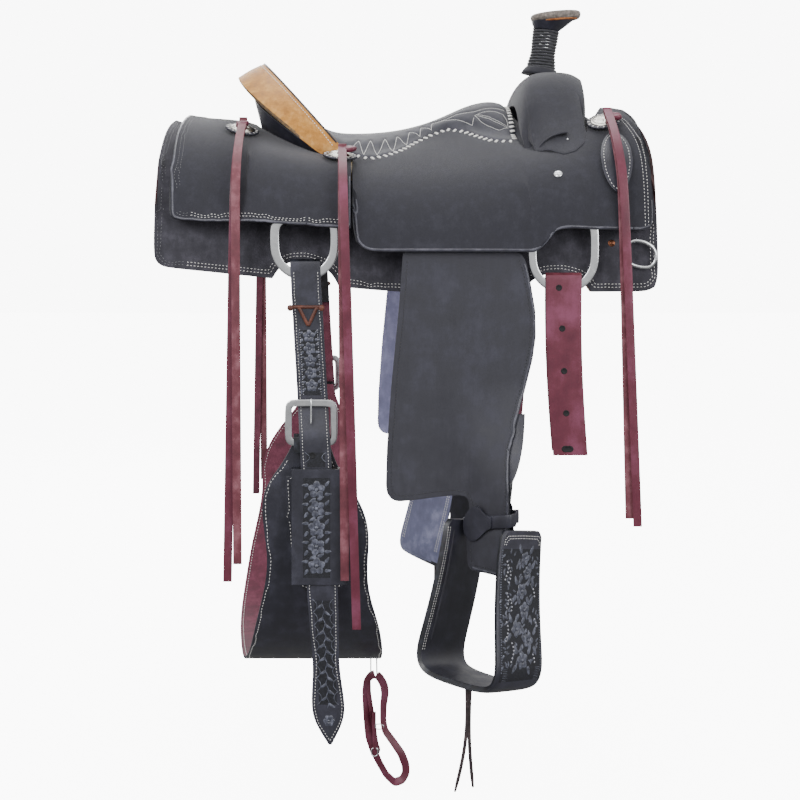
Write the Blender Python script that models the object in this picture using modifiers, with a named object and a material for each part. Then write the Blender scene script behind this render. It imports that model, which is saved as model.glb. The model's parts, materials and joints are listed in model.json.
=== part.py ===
# Team roping saddle, in metres. +X is towards the horse's head, +Y is the near (left) side, +Z is up.
# The origin is on the centre plane, on the horse's back under the middle of the seat.
# The saddle is built from the horse outwards: fleece, skirts, tree, rigging, ground seat, seat and
# jockeys, and then the fenders, stirrups, billets and flank cinch that hang from it.

import math

import bmesh
import bpy
import numpy as np
from mathutils import Vector

# Driving dimensions: the side profile that every leather layer follows
RIDGE_HEIGHT = 0.0116  # skirt underside on the centre plane, mid saddle
REAR_RISE = 0.476  # the ridge climbs with the square of x, by these factors
FRONT_RISE = 0.667
SKIRT_REAR = -0.350
SKIRT_FRONT = 0.352
FIRST_SLOPE = 6.0  # degrees, at the centre plane
SLOPE_GAIN = 78.0
SLOPE_REACH = 0.31
STEEPEST = 83.0

# Driving dimensions: thicknesses and the stack of flat layers that hang down the side
FLEECE = 0.0090
FLEECE_LIFT = -0.0117
SKIRT = 0.005
LEATHER = 0.004
PLY = 0.0028
SKIRT_FACE = 0.2645
BACK_PLY_Y = 0.2669
DEE_Y = 0.2717
FRONT_PLY_Y = 0.2769
FENDER_Y = 0.2835
JOCKEY_CLEAR = 0.2870
DEE_THICK = 0.005

# Driving dimensions: seat, cantle, fork and horn
CANTLE_FOOT_X = -0.0863
CANTLE_DEPTH = 0.1237
CANTLE_HALF_WIDTH = 0.155
CANTLE_FOOT_Z = 0.024
CANTLE_RISE = 0.1384
FORK_REAR = 0.1755
FORK_FRONT = 0.2896
HORN_TILT = 8.0
HORN_CAP_RADIUS = 0.0385
CORD_RADIUS = 0.0020
WRAP_TURNS = 12
WRAP_PITCH = 0.00455

# Driving dimensions: what hangs below
STIRRUP_TURN = 45.0
STIRRUP_X = 0.116
STIRRUP_TILT = 10.0
STIRRUP_Y = 0.312
BOLT_Z = -0.510
PIVOT_X = 0.080
PIVOT_Z = -0.045
FRONT_DEE = (0.219, -0.134, 0.049, 0.0115, -0.078)
REAR_DEE = (-0.1385, -0.1168, 0.048, 0.0125, -0.076)

SIDES = (("right", -1), ("left", 1))

for old in list(bpy.data.objects):
    bpy.data.objects.remove(old, do_unlink=True)

PARTS = bpy.data.collections.new("team_roping_saddle")
bpy.context.scene.collection.children.link(PARTS)


def finish(name, colour, roughness, metallic=0.0):
    """A plain surface finish with its colour, roughness and metallic value."""
    made = bpy.data.materials.new(name)
    made.use_nodes = True
    shader = made.node_tree.nodes["Principled BSDF"]
    shader.inputs["Base Color"].default_value = (*colour, 1.0)
    shader.inputs["Roughness"].default_value = roughness
    shader.inputs["Metallic"].default_value = metallic
    return made


ROUGH_OUT = finish("rough_out_leather", (0.035, 0.035, 0.04), 0.95)
BLACK = finish("black_leather", (0.02, 0.02, 0.024), 0.5)
LATIGO = finish("burgundy_latigo", (0.17, 0.03, 0.05), 0.5)
TAN = finish("tan_leather", (0.45, 0.22, 0.07), 0.55)
WOOL = finish("tan_fleece", (0.55, 0.36, 0.17), 1.0)
RAWHIDE = finish("rawhide_over_wood", (0.55, 0.45, 0.3), 0.6)
STEEL = finish("stainless_steel", (0.62, 0.62, 0.62), 0.25, 1.0)
SILVER = finish("engraved_silver", (0.7, 0.68, 0.64), 0.3, 1.0)


# The side profile: height and reach along the arc from the centre plane
ARC = np.linspace(0.0, 0.46, 461)
SLOPE = np.radians(np.minimum(STEEPEST, FIRST_SLOPE + SLOPE_GAIN * (ARC / SLOPE_REACH) ** 2.2))
STEP = ARC[1] - ARC[0]
REACH = np.concatenate([[0.0], np.cumsum(np.cos((SLOPE[1:] + SLOPE[:-1]) / 2) * STEP)])
DROP = np.concatenate([[0.0], np.cumsum(np.sin((SLOPE[1:] + SLOPE[:-1]) / 2) * STEP)])


def ridge(x):
    """Height of the skirts' underside on the centre plane."""
    return RIDGE_HEIGHT + (REAR_RISE if x < 0 else FRONT_RISE) * x * x


def surface(x, s, lift, side):
    """The point that stands lift off the side profile, s along its arc."""
    slope = np.interp(s, ARC, SLOPE)
    climb = 2 * (REAR_RISE if x < 0 else FRONT_RISE) * x * math.cos(slope)
    stand = lift * math.sqrt(1 + climb * climb)
    reach = np.interp(s, ARC, REACH) + stand * math.sin(slope)
    return (x, side * reach, ridge(x) - np.interp(s, ARC, DROP) + stand * math.cos(slope))


def arc_at_height(x, z, lift=0.0):
    """Arc length at which a layer with this lift comes down to height z."""
    heights = ridge(x) - DROP + lift * np.cos(SLOPE)
    return float(np.interp(-z, -heights, ARC))


def arc_at_reach(reach, lift=0.0):
    return float(np.interp(reach, REACH + lift * np.sin(SLOPE), ARC))


def height_at(x, y, lift):
    """Height of the layer with this lift above the plan point x, y."""
    return surface(x, arc_at_reach(abs(y), lift), lift, 1)[2]


def ease(value, start, end):
    """0 before start, 1 after end, smooth between."""
    t = min(1.0, max(0.0, (value - start) / (end - start)))
    return t * t * (3 - 2 * t)


def blend(pairs, value):
    """A smooth line through (place, size) pairs."""
    places = [p for p, _ in pairs]
    sizes = [q for _, q in pairs]
    i = min(max(int(np.searchsorted(places, value)) - 1, 0), len(places) - 2)
    t = min(1.0, max(0.0, (value - places[i]) / (places[i + 1] - places[i])))
    span = places[i + 1] - places[i]
    low, high = max(i - 1, 0), min(i + 2, len(places) - 1)
    rise_a = (sizes[i + 1] - sizes[low]) / (places[i + 1] - places[low]) * span
    rise_b = (sizes[high] - sizes[i]) / (places[high] - places[i]) * span
    a, b = sizes[i], sizes[i + 1]
    return (
        a * (2 * t**3 - 3 * t**2 + 1)
        + rise_a * (t**3 - 2 * t**2 + t)
        + b * (3 * t**2 - 2 * t**3)
        + rise_b * (t**3 - t**2)
    )


def add(name, mesh, material, smooth=True):
    obj = bpy.data.objects.new(name, mesh)
    PARTS.objects.link(obj)
    mesh.materials.append(material)
    if smooth:
        mesh.shade_smooth()
        mesh.set_sharp_from_angle(angle=math.radians(40))
    return obj


def sheet(name, strips, thickness, material, outward):
    """Leather: open grids of points, sewn where they meet, given a thickness on their outward side."""
    bm = bmesh.new()
    for grid in strips:
        verts = [[bm.verts.new(p) for p in row] for row in grid]
        for low, high in zip(verts[:-1], verts[1:]):
            for a, b, c, d in zip(low[:-1], low[1:], high[1:], high[:-1]):
                bm.faces.new((a, b, c, d))
    bmesh.ops.remove_doubles(bm, verts=bm.verts, dist=0.00005)
    bmesh.ops.dissolve_degenerate(bm, dist=0.00002, edges=bm.edges)
    bmesh.ops.recalc_face_normals(bm, faces=bm.faces)
    total = sum((face.normal * face.calc_area() for face in bm.faces), Vector())
    if total.dot(Vector(outward)) < 0:
        bmesh.ops.reverse_faces(bm, faces=bm.faces)
    mesh = bpy.data.meshes.new(name)
    bm.to_mesh(mesh)
    bm.free()
    obj = add(name, mesh, material)
    solid = obj.modifiers.new("thickness", "SOLIDIFY")
    solid.thickness = thickness
    solid.offset = 1.0
    return obj


def loft(name, sections, material, ring=False, smooth=True):
    """A closed skin over sections with equal point counts, capped at both ends unless it is a ring."""
    bm = bmesh.new()
    loops = [[bm.verts.new(p) for p in section] for section in sections]
    pairs = list(zip(loops[:-1], loops[1:]))
    if ring:
        pairs.append((loops[-1], loops[0]))
    for low, high in pairs:
        for i in range(len(low)):
            j = (i + 1) % len(low)
            bm.faces.new((low[i], low[j], high[j], high[i]))
    if not ring:
        bm.faces.new(loops[0])
        bm.faces.new(loops[-1])
    bmesh.ops.recalc_face_normals(bm, faces=bm.faces)
    mesh = bpy.data.meshes.new(name)
    bm.to_mesh(mesh)
    bm.free()
    return add(name, mesh, material, smooth)


def ribbon(name, path, edges, thickness, material):
    """A strap: path is its (y, z) line, edges the (low, high) x of its two edges at each point."""
    sections = []
    for i, ((y, z), (low, high)) in enumerate(zip(path, edges)):
        before, after = path[max(i - 1, 0)], path[min(i + 1, len(path) - 1)]
        along = Vector((after[0] - before[0], after[1] - before[1])).normalized()
        out = Vector((-along[1], along[0])) * thickness / 2
        sections.append(
            [
                (low, y + out[0], z + out[1]),
                (high, y + out[0], z + out[1]),
                (high, y - out[0], z - out[1]),
                (low, y - out[0], z - out[1]),
            ]
        )
    return loft(name, sections, material)


def turned(name, profile, place, direction, material, steps):
    """A turned piece: an outer profile of (radius, height) from top to bottom, spun about its axis."""
    mesh = bpy.data.meshes.new(name)
    mesh.from_pydata([(r, 0.0, z) for r, z in profile], [(i, i + 1) for i in range(len(profile) - 1)], [])
    obj = add(name, mesh, material, smooth=False)
    spin = obj.modifiers.new("spin", "SCREW")
    spin.steps = steps
    spin.render_steps = steps
    spin.use_merge_vertices = True
    spin.merge_threshold = 0.00001
    spin.use_smooth_shade = True
    obj.location = place
    obj.rotation_mode = "QUATERNION"
    obj.rotation_quaternion = Vector(direction).to_track_quat("Z", "Y")
    return obj


def tube(name, points, radius, material, closed=False, sides=2):
    """Round wire or cord along points."""
    curve = bpy.data.curves.new(name, "CURVE")
    curve.dimensions = "3D"
    curve.bevel_depth = radius
    curve.bevel_resolution = sides
    curve.use_fill_caps = not closed
    line = curve.splines.new("POLY")
    line.points.add(len(points) - 1)
    for point, place in zip(line.points, points):
        point.co = (*place, 1.0)
    line.use_cyclic_u = closed
    curve.materials.append(material)
    obj = bpy.data.objects.new(name, curve)
    PARTS.objects.link(obj)
    return obj


def plate(name, outlines, thickness, y, material):
    """A flat piece that stands in the plane at y, cut to (x, z) outlines; the later outlines are holes."""
    curve = bpy.data.curves.new(name, "CURVE")
    curve.dimensions = "2D"
    curve.fill_mode = "BOTH"
    curve.extrude = thickness / 2
    for outline in outlines:
        line = curve.splines.new("POLY")
        line.points.add(len(outline) - 1)
        for point, (x, z) in zip(line.points, outline):
            point.co = (x, z, 0.0, 1.0)
        line.use_cyclic_u = True
    curve.materials.append(material)
    obj = bpy.data.objects.new(name, curve)
    PARTS.objects.link(obj)
    obj.rotation_euler = (math.radians(90), 0, 0)
    obj.location = (0, y, 0)
    return obj


def fused(name, pieces, material):
    """Closed pieces that overlap, made one body."""
    bpy.context.view_layer.update()
    graph = bpy.context.evaluated_depsgraph_get()
    meshes = []
    for piece in pieces:
        mesh = bpy.data.meshes.new_from_object(piece.evaluated_get(graph))
        mesh.transform(piece.matrix_world)
        bm = bmesh.new()
        bm.from_mesh(mesh)
        bmesh.ops.remove_doubles(bm, verts=bm.verts, dist=0.00001)
        bmesh.ops.recalc_face_normals(bm, faces=bm.faces)
        bm.to_mesh(mesh)
        bm.free()
        meshes.append(mesh)
    for piece in pieces:
        bpy.data.objects.remove(piece, do_unlink=True)
    whole = add(name, meshes[0], material, smooth=False)
    for i, mesh in enumerate(meshes[1:]):
        other = bpy.data.objects.new(f"{name}_joined_{i}", mesh)
        bpy.context.scene.collection.objects.link(other)
        join = whole.modifiers.new("join", "BOOLEAN")
        join.operation = "UNION"
        join.solver = "EXACT"
        join.object = other
        bpy.context.view_layer.update()
        made = bpy.data.meshes.new_from_object(whole.evaluated_get(bpy.context.evaluated_depsgraph_get()))
        whole.modifiers.clear()
        whole.data = made
        bpy.data.objects.remove(other, do_unlink=True)
    whole.data.name = name
    whole.data.materials.clear()
    whole.data.materials.append(material)
    whole.data.shade_smooth()
    whole.data.set_sharp_from_angle(angle=math.radians(40))
    return whole


def side_panel(name, side, stations, top, bottom, rows, lift, thickness, material):
    """A leather panel on the side profile, between two edges given as arc lengths at each station."""
    grid = []
    for x in stations:
        a, b = top(x), bottom(x)
        line = [a + (b - a) * j / rows for j in range(rows + 1)]
        grid.append([surface(x, s, lift(x, s), side) for s in line])
    return sheet(name, [grid], thickness, material, (0, side, 0.6))


def arch(x, centre, half_width, height):
    """A rounded cut-out in a lower edge."""
    t = (x - centre) / half_width
    return height * (1 - t * t) ** 0.5 if abs(t) < 1 else 0.0


def rounded_end(x, end, radius):
    """How far an edge is drawn in near a rounded corner at x = end."""
    t = 1 - min(1.0, abs(end - x) / radius)
    return radius * (1 - math.sqrt(max(0.0, 1 - t * t)))


# Skirts and fleece: the same outline, cut away in an arch under each rigging dee
SKIRT_STATIONS = (
    [SKIRT_REAR, -0.346, -0.338, -0.325, -0.28, -0.235, -0.1845, -0.175, -0.158, -0.138, -0.118]
    + [-0.101, -0.0915, -0.03, 0.04, 0.10, 0.1655, 0.175, 0.192, 0.212, 0.232, 0.249, 0.2585]
    + [0.280, 0.304, 0.322, 0.336, 0.346, SKIRT_FRONT]
)


def skirt_bottom(x):
    level = blend(
        [(-0.35, -0.1455), (-0.2, -0.1610), (-0.02, -0.1810), (0.10, -0.1823), (0.352, -0.1800)], x,
    )
    level += arch(x, -0.138, 0.046, 0.030) + arch(x, 0.212, 0.046, 0.027)
    level += rounded_end(x, SKIRT_REAR, 0.018) + rounded_end(x, SKIRT_FRONT, 0.020)
    return arc_at_height(x, level)


def skirt_top(x):
    if x < 0.272:
        return 0.012 + 0.070 * ease(x, 0.10, 0.25)
    t = (x - 0.272) / (SKIRT_FRONT - 0.272)
    return 0.082 + 0.150 * (1 - math.sqrt(max(0.0, 1 - t**2.4)))


def fleece_bottom(x):
    return skirt_bottom(x) - 0.001


for word, side in SIDES:
    side_panel(
        f"skirt_{word}", side, SKIRT_STATIONS, skirt_top, skirt_bottom, 5, lambda x, s: 0.0, SKIRT,
        ROUGH_OUT,
    )
    side_panel(
        f"fleece_{word}", side, SKIRT_STATIONS, skirt_top, fleece_bottom, 5, lambda x, s: FLEECE_LIFT,
        FLEECE, WOOL,
    )

# Tree bars: boards with rounded ends that lie on the skirts
BAR_LIFT = 0.0065
BAR_THICK = 0.013
BAR_STATIONS = [-0.265, -0.25, -0.22, -0.17, -0.11, -0.05, 0.01, 0.07, 0.13, 0.18, 0.22, 0.25, 0.268]


def bar_half(x):
    end = max(abs(x - 0.0015) - 0.2, 0) / 0.0668
    return 0.072 * math.sqrt(max(0.12, 1 - 0.88 * end * end))


def bar_middle(x):
    return 0.115 + 0.022 * ease(x, 0.05, 0.25)


for word, side in SIDES:
    side_panel(
        f"tree_bar_{word}",
        side,
        BAR_STATIONS,
        lambda x: bar_middle(x) - bar_half(x),
        lambda x: bar_middle(x) + bar_half(x),
        5,
        lambda x, s: BAR_LIFT,
        BAR_THICK,
        RAWHIDE,
    )

# Rear jockeys: behind the cantle, over the skirts and the rear dees
JOCKEY = 0.0045
REAR_JOCKEY_STATIONS = [
    -0.328, -0.324, -0.315, -0.29, -0.26, -0.235, -0.2215, -0.2175, -0.2115, -0.203, -0.19, -0.165,
    -0.135, -0.11, -0.09, -0.0748,
]
CANTLE_EDGE = 1.105


def rear_jockey_top(x):
    reach = (x - CANTLE_FOOT_X) / (CANTLE_DEPTH * CANTLE_EDGE)
    if x > CANTLE_FOOT_X:
        reach = 0.0
    if abs(reach) >= 1:
        return 0.006
    return max(0.006, arc_at_reach(CANTLE_HALF_WIDTH * CANTLE_EDGE * math.sqrt(1 - reach * reach), 0.02))


def rear_jockey_lift(x, s):
    top = 0.0145 + 0.0135 * ease(x, -0.330, -0.240) - 0.0025 * ease(x, -0.17, -0.12)
    return top + (0.004 + 0.0165 * ease(x, -0.27, -0.19)) * ease(s, 0.15, 0.23)


def rear_jockey_bottom(x):
    level = -0.0800 - 0.0800 * (x + 0.328) + rounded_end(x, -0.328, 0.014)
    return arc_at_height(x, level, 0.024)


for word, side in SIDES:
    side_panel(
        f"rear_jockey_{word}",
        side,
        REAR_JOCKEY_STATIONS,
        rear_jockey_top,
        rear_jockey_bottom,
        6,
        rear_jockey_lift,
        JOCKEY,
        ROUGH_OUT,
    )

# Seat and side jockeys: one hide from the cantle's rim to the fork and down over the bars
SEAT_TOP = [
    (-0.0863, 0.0480),
    (-0.05, 0.0480),
    (0.0, 0.0530),
    (0.05, 0.0655),
    (0.085, 0.0805),
    (0.11, 0.0925),
    (0.14, 0.1015),
    (0.176, 0.1040),
]
SEAT_EDGE_Y = [
    (-0.0863, 0.155), (-0.047, 0.140), (-0.012, 0.115), (0.03, 0.085), (0.072, 0.066),
    (0.10, 0.072), (0.14, 0.098), (0.172, 0.112),
]
SEAT_EDGE_Z = [
    (-0.0863, 0.0205), (-0.047, 0.0165), (-0.012, 0.0240), (0.03, 0.0400), (0.072, 0.0565),
    (0.10, 0.0555), (0.14, 0.0470), (0.172, 0.0430),
]
PAD_RISE = 0.0135
SEAT_BULGE = 2.3
ACROSS = [math.sin(math.radians(a)) for a in range(-90, 91, 18)]


def rim(angle):
    """The cantle's rim, from the top centre at 0 to its two feet at plus and minus 90 degrees."""
    c, s = math.cos(angle), math.sin(angle)
    return Vector(
        (CANTLE_FOOT_X - CANTLE_DEPTH * c, CANTLE_HALF_WIDTH * s, CANTLE_FOOT_Z + CANTLE_RISE * c),
    )


def seat_point(x, share, rise=0.0):
    """The underside of the seat leather at station x, share of the way out to its edge."""
    top = blend(SEAT_TOP, x) - PAD_RISE
    edge = blend(SEAT_EDGE_Z, x) - JOCKEY
    height = top - (top - edge) * abs(share) ** SEAT_BULGE
    return (x, blend(SEAT_EDGE_Y, x) * share, height + rise)


def dish_point(depth, share, rise=0.0):
    """The cantle's dished front: depth 0 is the line across the seat, 1 is the rim."""
    c = math.sqrt(max(0.0, 1 - share * share))
    low = seat_point(CANTLE_FOOT_X, share)
    high = CANTLE_FOOT_Z - 0.0075 + (CANTLE_RISE - 0.004) * c
    x = CANTLE_FOOT_X - CANTLE_DEPTH * 0.975 * depth * c
    return (x, CANTLE_HALF_WIDTH * share, low[2] + (high - low[2]) * depth**2.2 + rise)


JOCKEY_STATIONS = [-0.073, -0.068, -0.058, -0.045, -0.015, 0.015, 0.045, 0.075, 0.105, 0.14, 0.170]
FRONT_STATIONS = [
    0.170, 0.1735, 0.180, 0.190, 0.205, 0.2225, 0.240, 0.255, 0.265, 0.2725, 0.285, 0.30, 0.315,
    0.328, 0.337, 0.342,
]


def jockey_lift(x, s):
    top = 0.0268 - 0.003 * ease(x, 0.262, 0.290) - 0.009 * ease(x, 0.290, 0.330)
    low = 0.0435 - 0.0150 * ease(x, 0.225, 0.270) - 0.012 * ease(x, 0.280, 0.330)
    return top + (low - top) * ease(s, 0.17, 0.27)


def jockey_bottom(x):
    level = -0.1285 + 0.0325 * ease(x, 0.176, 0.212)
    level += rounded_end(x, -0.073, 0.028) + rounded_end(x, 0.342, 0.012)
    return arc_at_height(x, level, 0.012)


def front_jockey_top(x):
    """The hide is cut in a round notch below the fork, then rises to its front corner."""
    if x < 0.2725:
        t = (x - 0.2225) / 0.0505
        return 0.163 + 0.037 * math.sqrt(max(0.0, 1 - t * t))
    if x < 0.30:
        return 0.163 - 0.067 * ease(x, 0.2725, 0.30)
    t = (x - 0.30) / 0.042
    return 0.096 + 0.150 * (1 - math.sqrt(max(0.0, 1 - t**2.2)))


def hide_edge(x):
    """The seat edge as an arc length and the lift that it has there."""
    edge = Vector(seat_point(x, 1.0)[1:])
    apart = [
        (edge - Vector((REACH[i], ridge(x) - DROP[i]))).length for i in range(0, len(ARC), 2)
    ]
    i = 2 * int(np.argmin(apart))
    return float(ARC[i]), float(apart[i // 2])


def side_line(x, side, rows=6):
    """The side jockey's line from the seat edge to the bottom edge."""
    start, lift = hide_edge(x)
    end = jockey_bottom(x)
    line = [(x, side * seat_point(x, 1.0)[1], seat_point(x, 1.0)[2])]
    for j in range(1, rows + 1):
        s = start + (end - start) * j / rows
        near = math.exp(-(((s - start) / 0.040) ** 2))
        line.append(surface(x, s, jockey_lift(x, s) * (1 - near) + lift * near, side))
    return line


SEAT_STATIONS = [CANTLE_FOOT_X] + JOCKEY_STATIONS
DISH_DEPTHS = [1.0, 0.93, 0.84, 0.72, 0.56, 0.36, 0.16, 0.0]
strips = [[[dish_point(d, share) for share in ACROSS] for d in DISH_DEPTHS]]
strips.append([[seat_point(x, share) for share in ACROSS] for x in SEAT_STATIONS])
for _, side in SIDES:
    strips.append([side_line(x, side) for x in JOCKEY_STATIONS])
    front = [side_line(0.170, side)]
    for x in FRONT_STATIONS[1:]:
        a, b = front_jockey_top(x), jockey_bottom(x)
        front.append(
            [surface(x, a + (b - a) * j / 6, jockey_lift(x, a + (b - a) * j / 6), side) for j in range(7)],
        )
    strips.append(front)
sheet("seat_and_jockeys", strips, JOCKEY, ROUGH_OUT, (0, 0, 1))

# Ground seat: the shaped steel strainer under the seat leather
strainer = []
for x in (-0.15, -0.12, -0.08, -0.04, 0.0, 0.04, 0.08, 0.12, 0.15):
    row = []
    for share in (-1.0, -0.6, 0.0, 0.6, 1.0):
        if x < CANTLE_FOOT_X:
            depth = (CANTLE_FOOT_X - x) / (CANTLE_DEPTH * 0.975)
            row.append(dish_point(depth, share * 0.23, -0.0055))
        else:
            row.append(seat_point(x, share * 0.036 / blend(SEAT_EDGE_Y, x), -0.0055))
    strainer.append(row)
sheet("ground_seat_strainer", [strainer], 0.0015, STEEL, (0, 0, 1))

# Padded seat: a crowned cushion, drawn in at its edge, with two sewn channels along it
PAD_COLUMNS = 16
PAD_EDGE = 0.0012
PAD_GAP = 0.0014
PAD_CROWN = 0.0085


def pad_height(along, share):
    """Thickness of the cushion: along and share run from -1 to 1 over it."""
    crown = (1 - abs(along) ** 5) * (1 - abs(share) ** 4)
    channel = sum(math.exp(-(((abs(share) - at) / 0.045) ** 2)) for at in (0.40, 0.72))
    return PAD_EDGE + PAD_CROWN * max(0.0, crown) ** 0.6 * (1 - 0.45 * channel)


pad_rows = [("dish", d) for d in (0.90, 0.81, 0.69, 0.54, 0.36, 0.16)]
pad_rows += [
    ("seat", x)
    for x in (-0.0863, -0.066, -0.045, -0.022, 0.0, 0.022, 0.045, 0.066, 0.087, 0.108, 0.128, 0.146, 0.160)
]
pad_low, pad_high = [], []
for i, (kind, at) in enumerate(pad_rows):
    along = 2 * i / (len(pad_rows) - 1) - 1
    low_row, high_row = [], []
    for j in range(PAD_COLUMNS + 1):
        share = math.sin(math.radians(78) * (2 * j / PAD_COLUMNS - 1)) / math.sin(math.radians(78))
        reach = share * 0.93
        place = dish_point(at, reach, 0.0) if kind == "dish" else seat_point(at, reach, 0.0)
        ahead = dish_point(at - 0.02, reach, 0.0) if kind == "dish" else seat_point(at + 0.004, reach, 0.0)
        beside = dish_point(at, reach - 0.03, 0.0) if kind == "dish" else seat_point(at, reach - 0.03, 0.0)
        up = (Vector(ahead) - Vector(place)).cross(Vector(place) - Vector(beside)).normalized()
        low_row.append(Vector(place) + up * (JOCKEY + PAD_GAP))
        high_row.append(Vector(place) + up * (JOCKEY + PAD_GAP + pad_height(along, share)))
    pad_low.append(low_row)
    pad_high.append(high_row)
bm = bmesh.new()
low = [[bm.verts.new(p) for p in row] for row in pad_low]
high = [[bm.verts.new(p) for p in row] for row in pad_high]
for grid in (low, high):
    for first, second in zip(grid[:-1], grid[1:]):
        for a, b, c, d in zip(first[:-1], first[1:], second[1:], second[:-1]):
            bm.faces.new((a, b, c, d))
rims = [
    (low[0], high[0]),
    (low[-1], high[-1]),
    ([row[0] for row in low], [row[0] for row in high]),
    ([row[-1] for row in low], [row[-1] for row in high]),
]
for under, over in rims:
    for a, b, c, d in zip(under[:-1], under[1:], over[1:], over[:-1]):
        bm.faces.new((a, b, c, d))
bmesh.ops.recalc_face_normals(bm, faces=bm.faces)
pad_mesh = bpy.data.meshes.new("padded_seat")
bm.to_mesh(pad_mesh)
bm.free()
add("padded_seat", pad_mesh, ROUGH_OUT)

# Cantle: the board inside, the leather back, and the tan roll round the rim
ROLL_ANGLES = [math.radians(a) for a in range(-90, 91, 9)]


def roll_section(angle):
    c, s = math.cos(angle), abs(math.sin(angle))
    side = 1 if angle > 0 else -1
    top = rim(angle) + Vector((0.0, side * 0.002 * s, 0.0))
    flange = Vector(
        (
            -0.037 * c - 0.033 * s + 0.004 * c * s, side * (0.010 * s + 0.012 * c * s),
            -0.021 * c - 0.004 * s,
        ),
    )
    rear = top + flange
    middle = top + flange * 0.5 + Vector((0.0, 0.0, 0.0030))
    rear_low = rear + Vector((0.003 * c, 0.0, -0.0062))
    under = rear + Vector((0.0253 * c + 0.008 * s, -side * 0.003 * s, -0.0316 * c - 0.0055 * s))
    inner = top + Vector((-0.0045 * c, 0.0, -0.011 * c - 0.0050 * s))
    return [top, middle, rear, rear_low, under, inner]


loft("cantle_roll", [roll_section(angle) for angle in ROLL_ANGLES], TAN)

BACK_ANGLES = [math.radians(a) for a in range(-81, 82, 9)]
back = []
for angle in BACK_ANGLES:
    c, s = math.cos(angle), math.sin(angle)
    upper = roll_section(angle)[4] + Vector((0.0012 * c, 0.0, -0.0010 - 0.0005 * c))
    x = CANTLE_FOOT_X - CANTLE_DEPTH * 1.012 * c
    y = CANTLE_HALF_WIDTH * 1.020 * s
    lower = Vector((x, y, height_at(x, y, 0.0225)))
    back.append([upper.lerp(lower, j / 3) for j in range(4)])
sheet("cantle_back", [back], 0.0026, BLACK, (-1, 0, 0))

board = []
for angle in [math.radians(a) for a in range(-56, 57, 8)]:
    c, s = math.cos(angle), math.sin(angle)
    section = []
    for scale, drop in ((1.005, 0.024), (1.005, None), (0.90, None), (0.955, 0.040)):
        x = CANTLE_FOOT_X - CANTLE_DEPTH * scale * c
        y = CANTLE_HALF_WIDTH * scale * s
        z = height_at(
            x, y, BAR_LIFT + BAR_THICK,
        ) + 0.0018 if drop is None else rim(angle)[2] - drop * (0.35 + 0.65 * c)
        section.append((x, y, z))
    board.append(section)
loft("tree_cantle", board, RAWHIDE)

# Fork: the wooden arch over the withers, and the rough-out cover that runs under the jockeys
FORK_PATH = [
    (0.0, 0.1500), (0.045, 0.1470), (0.085, 0.1370), (0.120, 0.1150), (0.143, 0.0880),
    (0.155, 0.0640), (0.161, 0.0470),
]
FORK_DEPTHS = [0.052, 0.051, 0.047, 0.041, 0.033, 0.022, 0.010]
FORK_FEET = [(0.171, 0.181, 0.262), (0.186, 0.190, 0.256), (0.200, 0.203, 0.247), (0.209, 0.214, 0.238)]
FORK_FOOT_LIFT = 0.0212
HALF = len(FORK_PATH) - 1
# Each pair is the share of the way from rear to front, and the share of the depth below the top
FORK_SHAPE = (
    (0.0, 1.0), (0.01, 0.55), (0.06, 0.20), (0.20, 0.03), (0.5, 0.0), (0.80, 0.03), (0.94, 0.20),
    (0.99, 0.55), (1.0, 1.0),
)


def fork_line(inset):
    """(place, outward direction, step) from the right leg over the top to the left leg."""
    right = [(-y, z) for y, z in reversed(FORK_PATH[1:])]
    places = right + list(FORK_PATH)
    line = []
    for i, (y, z) in enumerate(places):
        before, after = places[max(i - 1, 0)], places[min(i + 1, len(places) - 1)]
        along = Vector((after[0] - before[0], after[1] - before[1])).normalized()
        out = Vector((-along[1], along[0]))
        line.append((Vector((y, z)) - out * inset, out, abs(i - HALF)))
    return line


def fork_section(place, out, step, inset, depth, floor):
    """Rear edge, over the rounded top, to the front edge, kept above the layer with lift floor."""
    share = step / HALF
    rear = FORK_REAR - 0.002 * share + inset
    front = FORK_FRONT - 0.0205 * share - inset
    lean = 0.016 * (1 - share)
    points = []
    for part, down in FORK_SHAPE:
        x = rear + part * (front - rear) + lean * (1 - down) * (1 - part)
        spot = place - out * depth * down
        points.append((x, spot[0], max(spot[1], height_at(x, spot[0], floor))))
    return points


def fork_foot(side, s, rear, front):
    return [surface(rear + part * (front - rear), s, FORK_FOOT_LIFT, side) for part, _ in FORK_SHAPE]


cover = [fork_foot(-1, *foot) for foot in reversed(FORK_FEET)]
for place, out, step in fork_line(LEATHER):
    cover.append(fork_section(place, out, step, LEATHER, FORK_DEPTHS[step], FORK_FOOT_LIFT + 0.0015))
cover += [fork_foot(1, *foot) for foot in FORK_FEET]
sheet("fork_cover", [cover], 0.0035, ROUGH_OUT, (0, 0, 1))

wood = []
for place, out, step in fork_line(LEATHER + 0.0018):
    if step < HALF:
        depth = FORK_DEPTHS[step] - 0.0035
        wood.append(fork_section(place, out, step, LEATHER + 0.0035, depth, BAR_LIFT + BAR_THICK + 0.004))
loft("tree_fork", wood, RAWHIDE)

# Horn: post, wound neck and cap, leaning forwards
HORN_FOOT = Vector((0.2245, 0.0, 0.1538))
HORN_AXIS = Vector((math.sin(math.radians(HORN_TILT)), 0.0, math.cos(math.radians(HORN_TILT))))
HORN_PROFILE = [
    (0.0, 0.0604), (0.0165, 0.0604), (0.0160, 0.0450), (0.0150, 0.0320), (0.0155, 0.0180),
    (0.0175, 0.0080), (0.0185, 0.0), (0.0, 0.0),
]
turned("horn_post", HORN_PROFILE, HORN_FOOT, HORN_AXIS, STEEL, 20)


def post_radius(height):
    spots = sorted({(z, r) for r, z in HORN_PROFILE if r > 0.001})
    return float(np.interp(height, [z for z, _ in spots], [r for _, r in spots]))


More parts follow.
